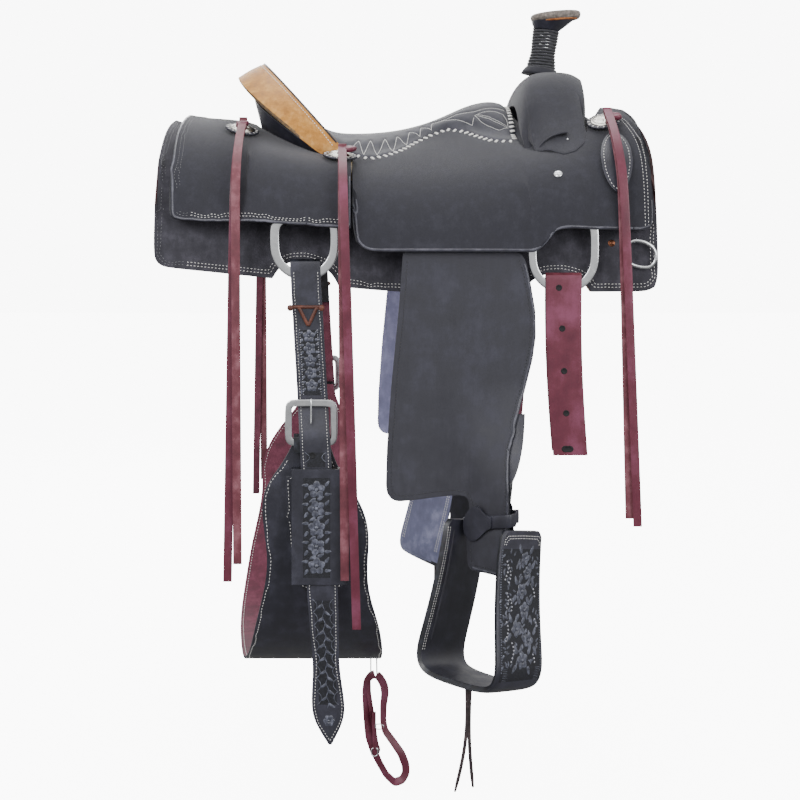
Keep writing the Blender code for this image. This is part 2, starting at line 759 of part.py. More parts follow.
HORN_SIDE = Vector((HORN_AXIS[2], 0.0, -HORN_AXIS[0]))
HORN_ACROSS = Vector((0.0, 1.0, 0.0))


def wrap_point(turn):
    height = 0.0032 + WRAP_PITCH * turn
    radius = max(post_radius(height + d) for d in (-0.002, 0.0, 0.002)) + CORD_RADIUS + 0.0005
    angle = 2 * math.pi * turn + math.pi
    return HORN_FOOT + HORN_AXIS * height + HORN_SIDE * radius * math.cos(
        angle,
    ) + HORN_ACROSS * radius * math.sin(angle)


wrap = [wrap_point(i / 24) for i in range(WRAP_TURNS * 24 + 1)]
start_way = (wrap[1] - wrap[0]).normalized()
end_way = (wrap[-1] - wrap[-2]).normalized()
wrap = [wrap[0] - start_way * 0.004] + wrap + [wrap[-1] + end_way * 0.004]
tube("horn_wrap", wrap, CORD_RADIUS, BLACK, sides=1)
spots = np.array(wrap)
least = min(
    float(np.linalg.norm(spots[i + 12 :] - spots[i], axis=1).min()) for i in range(len(spots) - 12)
)
print(f"horn wrap: least gap between turns {1000 * (least - 2 * CORD_RADIUS):.2f} mm")

# Each ring of the cap is centre x, centre z, radius and forward lean
CAP_RINGS = [
    (0.2332, 0.2146, 0.0190, 8.0),
    (0.2352, 0.2182, 0.0225, 5.0),
    (0.2402, 0.2255, 0.0300, 0.0),
    (0.2455, 0.2325, 0.0362, -4.0),
    (0.2478, 0.2355, HORN_CAP_RADIUS, -4.6),
    (0.2480, 0.2390, HORN_CAP_RADIUS, -4.6),
    (0.2478, 0.2410, 0.0362, -4.6),
    (0.2476, 0.2420, 0.0310, -4.6),
    (0.2475, 0.2423, 0.0150, -4.6),
]
rings = []
for x, z, radius, lean in CAP_RINGS:
    forward = Vector((math.cos(math.radians(lean)), 0.0, -math.sin(math.radians(lean))))
    ring = []
    for k in range(16):
        turn = 2 * math.pi * k / 16
        ring.append(
            Vector((x, 0.0, z)) + forward * radius * math.cos(turn) + HORN_ACROSS * radius * math.sin(turn),
        )
    rings.append(ring)
loft("horn_cap", rings, BLACK)


# Conchos on their rosettes: one turned piece each, sunk nowhere, standing on the leather
CONCHO_PROFILE = [
    (0.0, 0.0078), (0.010, 0.0070), (0.0175, 0.0048), (0.0190, 0.0032), (0.0250, 0.0032),
    (0.0250, 0.0), (0.0, 0.0),
]
CONCHOS = {
    "rear": (-0.2335, 0.127, 0.0015), "seat": (-0.0887, 0.178, 0.0040),
    "front": (0.2935, 0.170, 0.0020),
}


def lift_at(kind, x, s):
    if kind == "front":
        return jockey_lift(x, s) + JOCKEY
    return rear_jockey_lift(x, s) + JOCKEY


AROUND = ((0.015, 0.0), (-0.015, 0.0), (0.0, 0.018), (0.0, -0.018))
for word, side in SIDES:
    for kind, (x, s, stand) in CONCHOS.items():
        spot = Vector(surface(x, s, lift_at(kind, x, s) + stand, side))
        near = [Vector(surface(x + dx, s + ds, lift_at(kind, x + dx, s + ds), side)) for dx, ds in AROUND]
        ahead = near[0] - near[1]
        down = near[2] - near[3]
        out = ahead.cross(down).normalized()
        if out[1] * side < 0:
            out = -out
        turned(f"{kind}_concho_{word}", CONCHO_PROFILE, spot, out, SILVER, 14)

# Saddle strings: one flat thong each, through the concho, with two tails of unlike length
STRING_WIDTH = 0.0120
STRING_THICK = 0.0024
STRINGS = {
    "rear": dict(x=-0.2335, s=0.127, hang=(0.2915, 0.2957), lean=(-0.010, 0.004), ends=(-0.575, -0.550)),
    "seat": dict(x=-0.0870, s=0.178, hang=(0.3055, 0.3097), lean=(0.004, 0.020), ends=(-0.570, -0.635)),
    "front": dict(x=0.2955, s=0.170, hang=(0.2864, 0.2906), lean=(0.012, 0.022), ends=(-0.490, -0.500)),
}


def string_tail(kind, facts, layer, side):
    """(y, z, x) points of one tail, from the concho down."""
    stand = CONCHOS[kind][2] + 0.0112 + 0.0042 * layer
    points = []
    last = facts["hang"][layer]
    for i in range(6):
        s = facts["s"] + 0.030 * i
        lift = lift_at(kind, facts["x"], s) + stand
        _, y, z = surface(facts["x"], s, lift, 1)
        if y >= last - 0.001:
            break
        points.append((y, z))
    high = points[-1][1] - 0.035
    drop = facts["ends"][layer]
    points += [(last, high + (drop - high) * k / 2) for k in range(3)]
    top = points[0][1]
    return [(side * y, z, facts["x"] + facts["lean"][layer] * (top - z) / (top - drop)) for y, z in points]


for word, side in SIDES:
    for kind, facts in STRINGS.items():
        inner = string_tail(kind, facts, 0, side)
        outer = string_tail(kind, facts, 1, side)
        first, second = inner[0], outer[0]
        over = ((first[0] + second[0]) / 2, max(first[1], second[1]) + 0.0045, first[2])
        line = list(reversed(inner)) + [over] + outer
        half = STRING_WIDTH / 2
        ribbon(
            f"{kind}_string_{word}",
            [(y, z) for y, z, _ in line],
            [(x - half, x + half) for _, _, x in line],
            STRING_THICK,
            LATIGO,
        )


# Rope strap: a leaf-shaped stitched tab below the front concho on the off side
TAB_STATIONS = [0.2750, 0.2775, 0.283, 0.290, 0.297, 0.304, 0.311, 0.3165, 0.3190]


def tab_half(x):
    t = (x - 0.297) / 0.0225
    return 0.046 * math.sqrt(max(0.03, 1 - t * t))


side_panel(
    "rope_strap_tab",
    -1,
    TAB_STATIONS,
    lambda x: 0.248 - tab_half(x),
    lambda x: 0.244 + tab_half(x),
    4,
    lambda x, s: jockey_lift(x, s) + JOCKEY + 0.0014,
    0.0030,
    BLACK,
)

# Rigging dees: flat steel rings
RIGGING_LIFT = 0.0084


def dee_outline(x, z, radius, top, steps):
    """A half round below, straight sides and a flat top with rounded corners."""
    points = [
        (x + radius * math.cos(math.radians(a)), z + radius * math.sin(math.radians(a)))
        for a in range(-180, 1, steps)
    ]
    corner = 0.35 * radius
    for start, centre in (
        (0, (x + radius - corner, top - corner)), (90, (x - radius + corner, top - corner)),
    ):
        for a in (start, start + 30, start + 60, start + 90):
            turn = math.radians(a)
            points.append((centre[0] + corner * math.cos(turn), centre[1] + corner * math.sin(turn)))
    return points


def rounded_box(x0, x1, z0, z1, radius, steps=3):
    points = []
    corners = (
        (x1 - radius, z1 - radius, 0), (x0 + radius, z1 - radius, 90),
        (x0 + radius, z0 + radius, 180), (x1 - radius, z0 + radius, 270),
    )
    for x, z, start in corners:
        for k in range(steps + 1):
            turn = math.radians(start + 90 * k / steps)
            points.append((x + radius * math.cos(turn), z + radius * math.sin(turn)))
    return points


for word, side in SIDES:
    for kind, (x, z, radius, band, top) in (("front", FRONT_DEE), ("rear", REAR_DEE)):
        outer = dee_outline(x, z, radius, top, 15)
        inner = dee_outline(x, z, radius - band, top - 0.008, 15)
        plate(f"{kind}_dee_{word}", [outer, inner], DEE_THICK, side * DEE_Y, STEEL)

# Rigging: a panel under the jockeys below each bar, with a strap to each dee
for word, side in SIDES:
    pieces = [
        side_panel(
            f"rigging_panel_{word}",
            side,
            [x for x in SKIRT_STATIONS if -0.16 < x < 0.25],
            lambda x: 0.2300,
            lambda x: 0.2450,
            2,
            lambda x, s: RIGGING_LIFT,
            0.0030,
            BLACK,
        )
    ]
    for kind, (x, _, _, _, top) in (("front", FRONT_DEE), ("rear", REAR_DEE)):
        # The strap comes down off the panel, round the dee's top bar and back
        bar, outer = DEE_Y, DEE_Y + 0.0046
        _, root_y, root_z = surface(x, 0.2375, RIGGING_LIFT + 0.0015, 1)
        path = [
            (root_y, root_z),
            (outer - 0.016, top + 0.020),
            (outer - 0.0004, top + 0.006),
            (outer, top - 0.003),
            (outer - 0.001, top - 0.0115),
            (bar, top - 0.0130),
            (bar - 0.0040, top - 0.0110),
            (bar - 0.0047, top - 0.003),
            (bar - 0.0080, top + 0.0035),
        ]
        half = 0.025
        pieces.append(
            ribbon(
                f"{kind}_rigging_strap_{word}",
                [(side * a, b) for a, b in path],
                [(x - half, x + half)] * len(path),
                0.0024,
                BLACK,
            )
        )
    fused(f"rigging_{word}", pieces, BLACK)

# Breast collar dees: round wire loops at the front corners of the skirts
BREAST_LOOP = [
    (0.309, -0.1130), (0.317, -0.1090), (0.330, -0.1110), (0.342, -0.1175), (0.347, -0.1270),
    (0.3455, -0.1385), (0.339, -0.1455), (0.329, -0.1460), (0.316, -0.1430), (0.309, -0.1390),
]
for word, side in SIDES:
    loop = [(x, side * 0.2690, z) for x, z in BREAST_LOOP]
    tube(f"breast_dee_{word}", loop, 0.0022, STEEL, closed=True, sides=1)

# The strap frame at the stirrup: u runs along the bolt, w across the tread, both level
TURN = math.radians(STIRRUP_TURN)


def level_place(u, w, z, side):
    x = STIRRUP_X + u * math.cos(TURN) + w * math.sin(TURN)
    y = STIRRUP_Y + u * math.sin(TURN) - w * math.cos(TURN)
    return (x, side * y, z)


def at_bolt(w, z):
    """A station of a strap in the stirrup's plane."""
    x, y, _ = level_place(0.0, w, z, 1)
    return (x, y, z, 1.0)


def twist(start, finish, steps=6):
    """Stations between two places while a strap turns from the fender's plane to the stirrup's."""
    made = []
    for k in range(1, steps):
        share = k / steps
        place = Vector(start[:3]).lerp(Vector(finish[:3]), share)
        made.append((*place, share))
    return made


def turning_strap(name, stations, half, thickness, side, material):
    """A strap through (x, y, z, share of the turn) stations, whose width stays level."""
    sections = []
    for i, (x, y, z, share) in enumerate(stations):
        before, after = stations[max(i - 1, 0)], stations[min(i + 1, len(stations) - 1)]
        along = (Vector(after[:3]) - Vector(before[:3])).normalized()
        turn = TURN * share
        width = Vector((math.cos(turn), math.sin(turn), 0.0)) * half
        out = width.cross(along).normalized() * thickness / 2
        place = Vector((x, y, z))
        corners = (place - width + out, place + width + out, place + width - out, place - width - out)
        sections.append([(p[0], side * p[1], p[2]) for p in corners])
    return loft(name, sections, material)


NECK = [(0.1075, 0.2835, -0.4170, 0.0), (0.1075, 0.2835, -0.4240, 0.0)]
NECK += twist(NECK[-1], at_bolt(-0.0055, -0.4590))
NECK += [
    at_bolt(w, z)
    for w, z in ((-0.0055, -0.4590), (-0.0052, -0.4780), (-0.0080, -0.4900), (-0.0115, -0.5020))
]
NECK += [at_bolt(w, z) for w, z in ((-0.0118, -0.5200), (-0.0105, -0.5480), (-0.0100, -0.5630))]

# Fenders: a flat rough-out panel, its neck, and the strap that carries it up to the bar
FENDER_REAR_EDGE = [
    (-0.0035, -0.124), (-0.0088, -0.200), (-0.0195, -0.310), (-0.0255, -0.396), (-0.0266, -0.452),
    (-0.0225, -0.4635),
]
FENDER_BOTTOM = [
    (-0.0120, -0.4672), (0.0365, -0.4615), (0.0620, -0.4620), (0.0720, -0.4570), (0.0742, -0.4460),
    (0.0742, -0.4270), (0.1380, -0.4270),
]
FENDER_FRONT_EDGE = [
    (0.1400, -0.400), (0.1498, -0.3650), (0.1627, -0.3193), (0.1745, -0.2720), (0.1790, -0.240),
    (0.1783, -0.205), (0.1715, -0.165), (0.1655, -0.138), (0.1620, -0.1275), (0.150, -0.1240),
]
for word, side in SIDES:
    panel = plate(
        f"fender_panel_{word}",
        [FENDER_REAR_EDGE + FENDER_BOTTOM + FENDER_FRONT_EDGE],
        LEATHER,
        side * FENDER_Y,
        ROUGH_OUT,
    )
    hanger_path = [
        (FENDER_Y, -0.134), (FENDER_Y, -0.1245), (0.2792, -0.110), (0.2700, -0.0925),
        (0.2580, -0.0745), (0.2435, -0.0585), (0.2290, -0.0430), (0.2160, -0.0330),
    ]
    hanger = ribbon(
        f"fender_hanger_{word}",
        [(side * y, z) for y, z in hanger_path],
        [(0.047, 0.114)] * len(hanger_path),
        0.0036,
        ROUGH_OUT,
    )
    neck = turning_strap(f"fender_neck_{word}", NECK, 0.0325, 0.0036, side, ROUGH_OUT)
    fused(f"fender_{word}", [panel, hanger, neck], ROUGH_OUT)

# Stirrup leathers: doubled strap round the bolt, behind the fender's neck
LEATHERS = [(0.1320, 0.2800, -0.3450, 0.0), (0.1300, 0.2800, -0.3850, 0.0), (0.1210, 0.2800, -0.4150, 0.0)]
LEATHERS += [(0.1120, 0.2800, -0.4300, 0.0)]
LEATHERS += twist(LEATHERS[-1], at_bolt(0.0030, -0.4630))
LEATHERS += [
    at_bolt(w, z)
    for w, z in ((0.0030, -0.4630), (0.0030, -0.4780), (0.0045, -0.4900), (0.0072, -0.5030))
]
LEATHERS += [
    at_bolt(w, z)
    for w, z in ((0.0072, -0.5110), (0.0048, -0.5160), (0.0, -0.5182), (-0.0048, -0.5160))
]
LEATHERS += [
    at_bolt(w, z)
    for w, z in ((-0.0072, -0.5110), (-0.0072, -0.5030), (-0.0035, -0.4900), (-0.0008, -0.4780))
]
LEATHERS += [at_bolt(-0.0008, -0.4660)]
for word, side in SIDES:
    turning_strap(f"stirrup_leather_{word}", LEATHERS, 0.033, 0.0024, side, BLACK)

# Hobble straps: round the neck and the leathers, just above the stirrup
HOBBLE_OUTER = [
    (-0.0385, 0.0092), (0.0385, 0.0092), (0.0412, 0.0055), (0.0412, -0.0080), (0.0385, -0.0118),
    (-0.0385, -0.0118), (-0.0412, -0.0080), (-0.0412, 0.0055),
]
HOBBLE_INNER = [
    (-0.0372, 0.0066), (0.0372, 0.0066), (0.0386, 0.0047), (0.0386, -0.0072), (0.0372, -0.0092),
    (-0.0372, -0.0092), (-0.0386, -0.0072), (-0.0386, 0.0047),
]
HOBBLE_TOP, HOBBLE_LOW = -0.4660, -0.4830
for word, side in SIDES:
    sections = []
    for (ou, ow), (iu, iw) in zip(HOBBLE_OUTER, HOBBLE_INNER):
        corners = ((ou, ow, HOBBLE_TOP), (iu, iw, HOBBLE_TOP), (iu, iw, HOBBLE_LOW), (ou, ow, HOBBLE_LOW))
        sections.append([level_place(u, w, z, side) for u, w, z in corners])
    loft(f"hobble_strap_{word}", sections, BLACK, ring=True)

# Stirrups: a bent wooden band, rounded at the top ends and a little broader at the tread, with its bolt
BAND = 0.0095
TILT = math.radians(STIRRUP_TILT)


def stirrup_place(u, w, z, side):
    """A point of the stirrup, which leans about its bolt."""
    drop = z - BOLT_Z
    return level_place(
        u, w * math.cos(TILT) + drop * math.sin(TILT),
        BOLT_Z + drop * math.cos(TILT) - w * math.sin(TILT), side,
    )


STIRRUP_LIMB = [
    (0.0530, -0.4925), (0.0530, -0.4958), (0.0532, -0.5010), (0.0538, -0.535), (0.0590, -0.590),
    (0.0690, -0.645), (0.0730, -0.668), (0.0700, -0.6870), (0.0590, -0.6990), (0.0400, -0.7040),
    (0.0, -0.7050),
]
STIRRUP_BREADTH = [0.0360, 0.0405, 0.0440, 0.0455, 0.0470, 0.0485, 0.0490, 0.0485, 0.0470, 0.0460, 0.0460]
for word, side in SIDES:
    half_path = list(zip(STIRRUP_LIMB, STIRRUP_BREADTH))
    whole_path = [((-u, z), b) for (u, z), b in half_path] + [
        ((u, z), b)
        for (u, z), b in reversed(half_path[:-1])
    ]
    sections = []
    for i, ((u, z), breadth) in enumerate(whole_path):
        (u0, z0), (u1, z1) = whole_path[max(i - 1, 0)][0], whole_path[min(i + 1, len(whole_path) - 1)][0]
        along = Vector((u1 - u0, z1 - z0)).normalized()
        inward = Vector((-along[1], along[0])) * BAND
        outline = ((0.0, -0.90), (0.0, 0.90), (0.35, 1.0), (1.0, 0.93), (1.0, -0.93), (0.35, -1.0))
        sections.append(
            [stirrup_place(u + inward[0] * k, breadth * b, z + inward[1] * k, side) for k, b in outline]
        )
    band = loft(f"stirrup_band_{word}", sections, BLACK)
    bolt = tube(
        f"stirrup_bolt_{word}", [stirrup_place(u, 0.0, BOLT_Z, side) for u in (-0.049, 0.0, 0.049)],
        0.0040, STEEL,
    )
    fused(f"stirrup_{word}", [band, bolt], BLACK)

# Billets: straps doubled over the lower bar of a dee


def swept_edges(zs, centre, width):
    """Edges of a strap whose middle and width are smooth lines of height."""
    made = []
    for z in zs:
        middle, half = blend(centre, -z), blend(width, -z) / 2
        made.append((middle - half, middle + half))
    return made


OFF_BILLET_PATH = [
    (BACK_PLY_Y, -0.4000), (BACK_PLY_Y, -0.330), (BACK_PLY_Y, -0.250), (BACK_PLY_Y, -0.1640),
    (0.2685, -0.1572), (0.2718, -0.1545), (0.2752, -0.1572), (FRONT_PLY_Y, -0.1640),
    (FRONT_PLY_Y, -0.250), (FRONT_PLY_Y, -0.330), (FRONT_PLY_Y, -0.4050),
]
OFF_CENTRE = [(0.150, 0.2190), (0.200, 0.2175), (0.300, 0.2200), (0.410, 0.2280)]
STRAP_WIDTH = [(0.1, 0.0500), (0.5, 0.0470)]
ribbon(
    "off_billet",
    [(-y, z) for y, z in OFF_BILLET_PATH],
    swept_edges([z for _, z in OFF_BILLET_PATH], OFF_CENTRE, STRAP_WIDTH),
    PLY,
    LATIGO,
)
LATIGO_PATH = [(BACK_PLY_Y, -0.3500)] + OFF_BILLET_PATH[2:9] + [
    (FRONT_PLY_Y, -0.340), (0.2764, -0.430), (0.2762, -0.455), (0.2762, -0.465),
]
LATIGO_WIDTH = [(0.1, 0.0480), (0.25, 0.0460), (0.42, 0.0440), (0.455, 0.034), (0.465, 0.016)]
ribbon(
    "latigo",
    LATIGO_PATH,
    swept_edges(
        [z for _, z in LATIGO_PATH],
        [(0.150, 0.2190), (0.200, 0.2180), (0.300, 0.2140), (0.465, 0.2080)], LATIGO_WIDTH,
    ),
    PLY,
    LATIGO,
)

# Flank billets: from the rear dee, through the buckle, under the keeper, to a pointed end
FLANK_LINE = [
    (BACK_PLY_Y, -0.232), (BACK_PLY_Y, -0.190), (BACK_PLY_Y, -0.1450), (0.2685, -0.1383),
    (0.2718, -0.1356), (0.2752, -0.1383), (FRONT_PLY_Y, -0.1450),
]
FLANK_LINE += [
    (FRONT_PLY_Y, -0.200), (FRONT_PLY_Y, -0.260), (FRONT_PLY_Y, -0.315), (0.2778, -0.340),
    (0.2852, -0.3555), (0.2918, -0.3700), (0.2932, -0.3850),
]
FLANK_LINE += [
    (0.2932, z)
    for z in (-0.430, -0.500, -0.585, -0.640, -0.685, -0.720, -0.745, -0.765, -0.785, -0.797)
]
FLANK_CENTRE = [
    (0.13, -0.1385), (0.20, -0.1350), (0.30, -0.1290), (0.40, -0.1230), (0.60, -0.1130),
    (0.80, -0.1030),
]
FLANK_WIDTH = [
    (0.13, 0.0415), (0.38, 0.0420), (0.40, 0.0430), (0.60, 0.0430), (0.645, 0.0400),
    (0.685, 0.0345), (0.745, 0.0465), (0.765, 0.0400), (0.785, 0.0180), (0.797, 0.0040),
]
for word, side in SIDES:
    ribbon(
        f"flank_billet_{word}",
        [(side * y, z) for y, z in FLANK_LINE],
        swept_edges([z for _, z in FLANK_LINE], FLANK_CENTRE, FLANK_WIDTH),
        PLY,
        BLACK,
    )

# Flank buckles: rectangular frames with a hinged tongue
BUCKLE = (-0.1655, -0.0930, -0.3910, -0.3265)
BUCKLE_Y = 0.2838
BUCKLE_BAR = 0.0095
for word, side in SIDES:
    x0, x1, z0, z1 = BUCKLE
    outer = rounded_box(x0, x1, z0, z1, 0.012)
    inner = rounded_box(x0 + BUCKLE_BAR, x1 - BUCKLE_BAR, z0 + BUCKLE_BAR, z1 - BUCKLE_BAR, 0.005)
    plate(f"flank_buckle_{word}", [outer, inner], 0.0040, side * BUCKLE_Y, STEEL)
    middle = (x0 + x1) / 2
    tongue = [
        (0.2874, -0.3250), (0.2896, -0.3271), (0.2910, -0.3305), (0.2912, -0.3450),
        (0.2914, -0.3530), (0.2920, -0.3600),
    ]
    tube(f"buckle_tongue_{word}", [(middle, side * y, z) for y, z in tongue], 0.0015, STEEL, sides=1)

# Flank cinch: one broad strap that hangs in a loop from buckle to buckle
LOOP_TOP = -0.400
LOOP_BOTTOM = -0.750
LOOP_HALF = 0.2775
LOOP_POWER = 2.7
FAR_SHIFT = 0.040


def loop_point(angle):
    c, s = math.cos(angle), math.sin(angle)
    reach = LOOP_HALF * abs(c) ** (2 / LOOP_POWER)
    drop = (LOOP_TOP - LOOP_BOTTOM) * abs(s) ** (2 / LOOP_POWER)
    return (reach, LOOP_TOP - drop)


chape = [
    (0.2885, -0.4000), (0.2885, -0.3860), (0.2880, -0.3788), (0.2840, -0.3752), (0.2796, -0.3788),
    (0.2783, -0.3860),
]
fall = [loop_point(math.radians(a)) for a in (1.2, 3.2, 6, 9.5, 14, 19, 25, 32, 40, 49, 58, 68, 79, 90)]
half_line = chape + fall
cinch_line = [(-y, z) for y, z in half_line] + [(y, z) for y, z in reversed(half_line[:-1])]
CINCH_REAR = [
    (0.375, -0.1535), (0.402, -0.1540), (0.418, -0.1700), (0.440, -0.1880), (0.455, -0.1960),
    (0.485, -0.1975), (0.550, -0.1900), (0.590, -0.1940), (0.650, -0.2080), (0.700, -0.2170),
    (0.750, -0.2280),
]
CINCH_FRONT = [
    (0.375, -0.1050), (0.402, -0.1045), (0.418, -0.0950), (0.440, -0.0800), (0.470, -0.0620),
    (0.500, -0.0505), (0.530, -0.0490), (0.560, -0.0520), (0.600, -0.0500), (0.650, -0.0350),
    (0.700, -0.0260), (0.750, -0.0210),
]
cinch_edges = []
for y, z in cinch_line:
    across = (y / LOOP_HALF + 1) / 2
    shift = FAR_SHIFT * ease(across, 0.0, 1.0) * ease(-z, 0.43, 0.53)
    cinch_edges.append((blend(CINCH_REAR, -z) - shift, blend(CINCH_FRONT, -z) - shift))
ribbon("flank_cinch", cinch_line, cinch_edges, 0.0038, BLACK)

# Cinch keepers: flat sleeves that hold the billet against the cinch
KEEPER = dict(
    x0=-0.1560, x1=-0.0790, top=-0.4200, bottom=-0.5780, inner=0.2800, cavity=0.2888, outer=0.2978,
    wall=0.0028,
)
for word, side in SIDES:
    k = KEEPER
    sections = []
    for z in (k["top"], (k["top"] + k["bottom"]) / 2, k["bottom"]):
        outer = [(k["x0"], k["inner"]), (k["x1"], k["inner"]), (k["x1"], k["outer"]), (k["x0"], k["outer"])]
        sections.append([(x, side * y, z) for x, y in outer])
    sleeve = loft(f"keeper_body_{word}", sections, BLACK, smooth=False)
    slot = []
    for z in (k["top"] + 0.01, k["bottom"] - 0.01):
        x0, x1 = k["x0"] + 0.0105, k["x1"] - 0.0105
        y0, y1 = k["cavity"], k["outer"] - k["wall"]
        slot.append([(x, side * y, z) for x, y in ((x0, y0), (x1, y0), (x1, y1), (x0, y1))])
    cutter = loft(f"keeper_slot_{word}", slot, BLACK, smooth=False)
    cut = sleeve.modifiers.new("slot", "BOOLEAN")
    cut.operation = "DIFFERENCE"
    cut.solver = "EXACT"
    cut.object = cutter
    bpy.context.view_layer.update()
    made = bpy.data.meshes.new_from_object(sleeve.evaluated_get(bpy.context.evaluated_depsgraph_get()))
    bpy.data.objects.remove(sleeve, do_unlink=True)
    bpy.data.objects.remove(cutter, do_unlink=True)
    made.name = f"cinch_keeper_{word}"
    made.materials.clear()
    add(f"cinch_keeper_{word}", made, BLACK, smooth=False)

# Connector strap: a narrow strap loop that hangs from a wire ring on the front edge of the cinch
CONNECTOR_Y = -0.150
connector_loop = [
    (-0.0360, -0.7305), (-0.0390, -0.7615), (-0.041, -0.8000), (-0.042, -0.8350), (-0.037, -0.8700),
    (-0.022, -0.9000), (-0.006, -0.9140), (0.006, -0.9050), (0.004, -0.8850), (-0.010, -0.8500),
    (-0.022, -0.8200), (-0.027, -0.7965), (-0.028, -0.7615), (-0.0310, -0.7305),
]
sections = []
for i, (x, z) in enumerate(connector_loop):
    (xa, za), (xb, zb) = connector_loop[i - 1], connector_loop[(i + 1) % len(connector_loop)]
    along = Vector((xb - xa, zb - za)).normalized()
    out = Vector((-along[1], along[0])) * 0.00125
    sections.append(
        [
            (x + out[0], CONNECTOR_Y - 0.006, z + out[1]),
            (x + out[0], CONNECTOR_Y + 0.006, z + out[1]),
            (x - out[0], CONNECTOR_Y + 0.006, z - out[1]),
            (x - out[0], CONNECTOR_Y - 0.006, z - out[1]),
        ]
    )
loft("connector_strap", sections, LATIGO, ring=True)

# Joint axes: each moving piece hangs from an empty on the line that it turns about
FENDER_SWING = (PIVOT_X, 0.245, PIVOT_Z)
STIRRUP_PIVOT = (STIRRUP_X, STIRRUP_Y, BOLT_Z)
BREAST_HINGE = (0.309, 0.269, -0.128)
TONGUE_HINGE = (-0.1293, BUCKLE_Y, -0.3312)
BILLET_SWING = (FRONT_DEE[0], DEE_Y, FRONT_DEE[1])
CINCH_SWING = (REAR_DEE[0], 0.0, REAR_DEE[1])
CONNECTOR_HINGE = (-0.0335, CONNECTOR_Y, -0.7305)


def hang(axis_name, place, side, names, carrier=None):
    """Puts the named pieces under an empty at place, without moving their shapes."""
    here = Vector((place[0], place[1] * side, place[2]))
    axis = bpy.data.objects.new(axis_name, None)
    axis.empty_display_size = 0.02
    PARTS.objects.link(axis)
    axis.location = here
    if carrier:
        axis.parent = carrier
        axis.location = here - Vector(carrier["place"])
    axis["place"] = tuple(here)
    for name in names:
        piece = bpy.data.objects[name]
        piece.parent = axis
        piece.location = piece.location - here
    return axis


CINCH_PIECES = ["flank_cinch"]
for word, side in SIDES:
    CINCH_PIECES += [f"flank_billet_{word}", f"flank_buckle_{word}", f"cinch_keeper_{word}"]
cinch_axis = hang("flank_cinch_axis", CINCH_SWING, 1, CINCH_PIECES)
hang("connector_axis", CONNECTOR_HINGE, 1, ["connector_strap"], cinch_axis)
for word, side in SIDES:
    leg = [f"fender_{word}", f"stirrup_leather_{word}", f"hobble_strap_{word}"]
    fender_axis = hang(f"fender_axis_{word}", FENDER_SWING, side, leg)
    hang(f"stirrup_axis_{word}", STIRRUP_PIVOT, side, [f"stirrup_{word}"], fender_axis)
    hang(f"breast_dee_axis_{word}", BREAST_HINGE, side, [f"breast_dee_{word}"])
    hang(f"buckle_tongue_axis_{word}", TONGUE_HINGE, side, [f"buckle_tongue_{word}"], cinch_axis)
hang("off_billet_axis", BILLET_SWING, -1, ["off_billet"])
hang("latigo_axis", BILLET_SWING, 1, ["latigo"])
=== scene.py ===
# %% [markdown]
# # Team roping saddle: how its looks are made
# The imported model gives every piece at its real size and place. This file keeps those sizes. It puts a
# finer skin over each leather piece, adds the stitching, tooling, cord, silver and small hardware, and
# gives every surface a finish worked out from the real material.

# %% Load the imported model
import json
import math

import bmesh
import bpy
import numpy as np
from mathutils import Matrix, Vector, noise
from mathutils.bvhtree import BVHTree


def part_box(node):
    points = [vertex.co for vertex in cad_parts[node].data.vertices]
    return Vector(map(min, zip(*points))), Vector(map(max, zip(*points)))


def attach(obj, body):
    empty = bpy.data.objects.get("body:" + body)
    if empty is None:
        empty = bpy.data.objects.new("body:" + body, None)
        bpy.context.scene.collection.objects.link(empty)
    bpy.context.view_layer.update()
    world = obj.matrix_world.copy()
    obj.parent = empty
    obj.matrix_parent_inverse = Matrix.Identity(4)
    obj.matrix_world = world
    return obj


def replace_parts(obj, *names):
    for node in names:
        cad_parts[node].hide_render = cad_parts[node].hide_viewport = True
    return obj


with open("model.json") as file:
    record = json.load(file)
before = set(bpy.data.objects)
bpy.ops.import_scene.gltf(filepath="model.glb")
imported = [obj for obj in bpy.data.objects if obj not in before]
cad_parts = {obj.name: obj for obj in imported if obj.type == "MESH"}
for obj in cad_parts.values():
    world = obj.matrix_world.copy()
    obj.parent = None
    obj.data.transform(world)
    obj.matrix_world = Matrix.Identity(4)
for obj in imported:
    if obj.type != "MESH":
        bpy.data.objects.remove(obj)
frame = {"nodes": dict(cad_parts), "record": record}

MM = 0.001
SIDES = (("right", -1), ("left", 1))
NODES = frame["nodes"]
BODY_OF = {node: body for body, nodes in frame["record"]["behaviour"]["bodies"].items() for node in nodes}
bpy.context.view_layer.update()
print("the packed model has", len(NODES), "nodes")

# %% [markdown]
# ## Camera, floor and light
# A catalogue photograph of a saddle is taken square to its side, from about two metres, with soft light
# from both sides and a white ground. A level camera with a lens shift keeps the verticals upright, as
# an architect's camera does, so the saddle can sit off the middle of the lens.

# %% Camera
CAMERA_PLACE = (-0.076, -2.2, -0.06)
LENS_MM = 62.82
FRAME_SHIFT = (0.0625, -0.24375)
lens = bpy.data.cameras.new("camera")
lens.lens = LENS_MM
lens.shift_x, lens.shift_y = FRAME_SHIFT
camera = bpy.data.objects.new("camera", lens)
camera.location = CAMERA_PLACE
camera.rotation_euler = (math.radians(90), 0, 0)
bpy.context.scene.collection.objects.link(camera)
bpy.context.scene.camera = camera
print("camera at", CAMERA_PLACE)

# %% Floor and soft lights
FLOOR_Z = -0.925
FLOOR_HALF = 9.0
WHITE_SEEN = 9.0
SKY_LIGHT = 0.55
MIRRORED_DARK, MIRRORED_LIGHT = 0.45, 2.3
MIRRORED_LOW, MIRRORED_HIGH = -0.30, 0.25
WHITE = (1.0, 1.0, 1.0, 1.0)


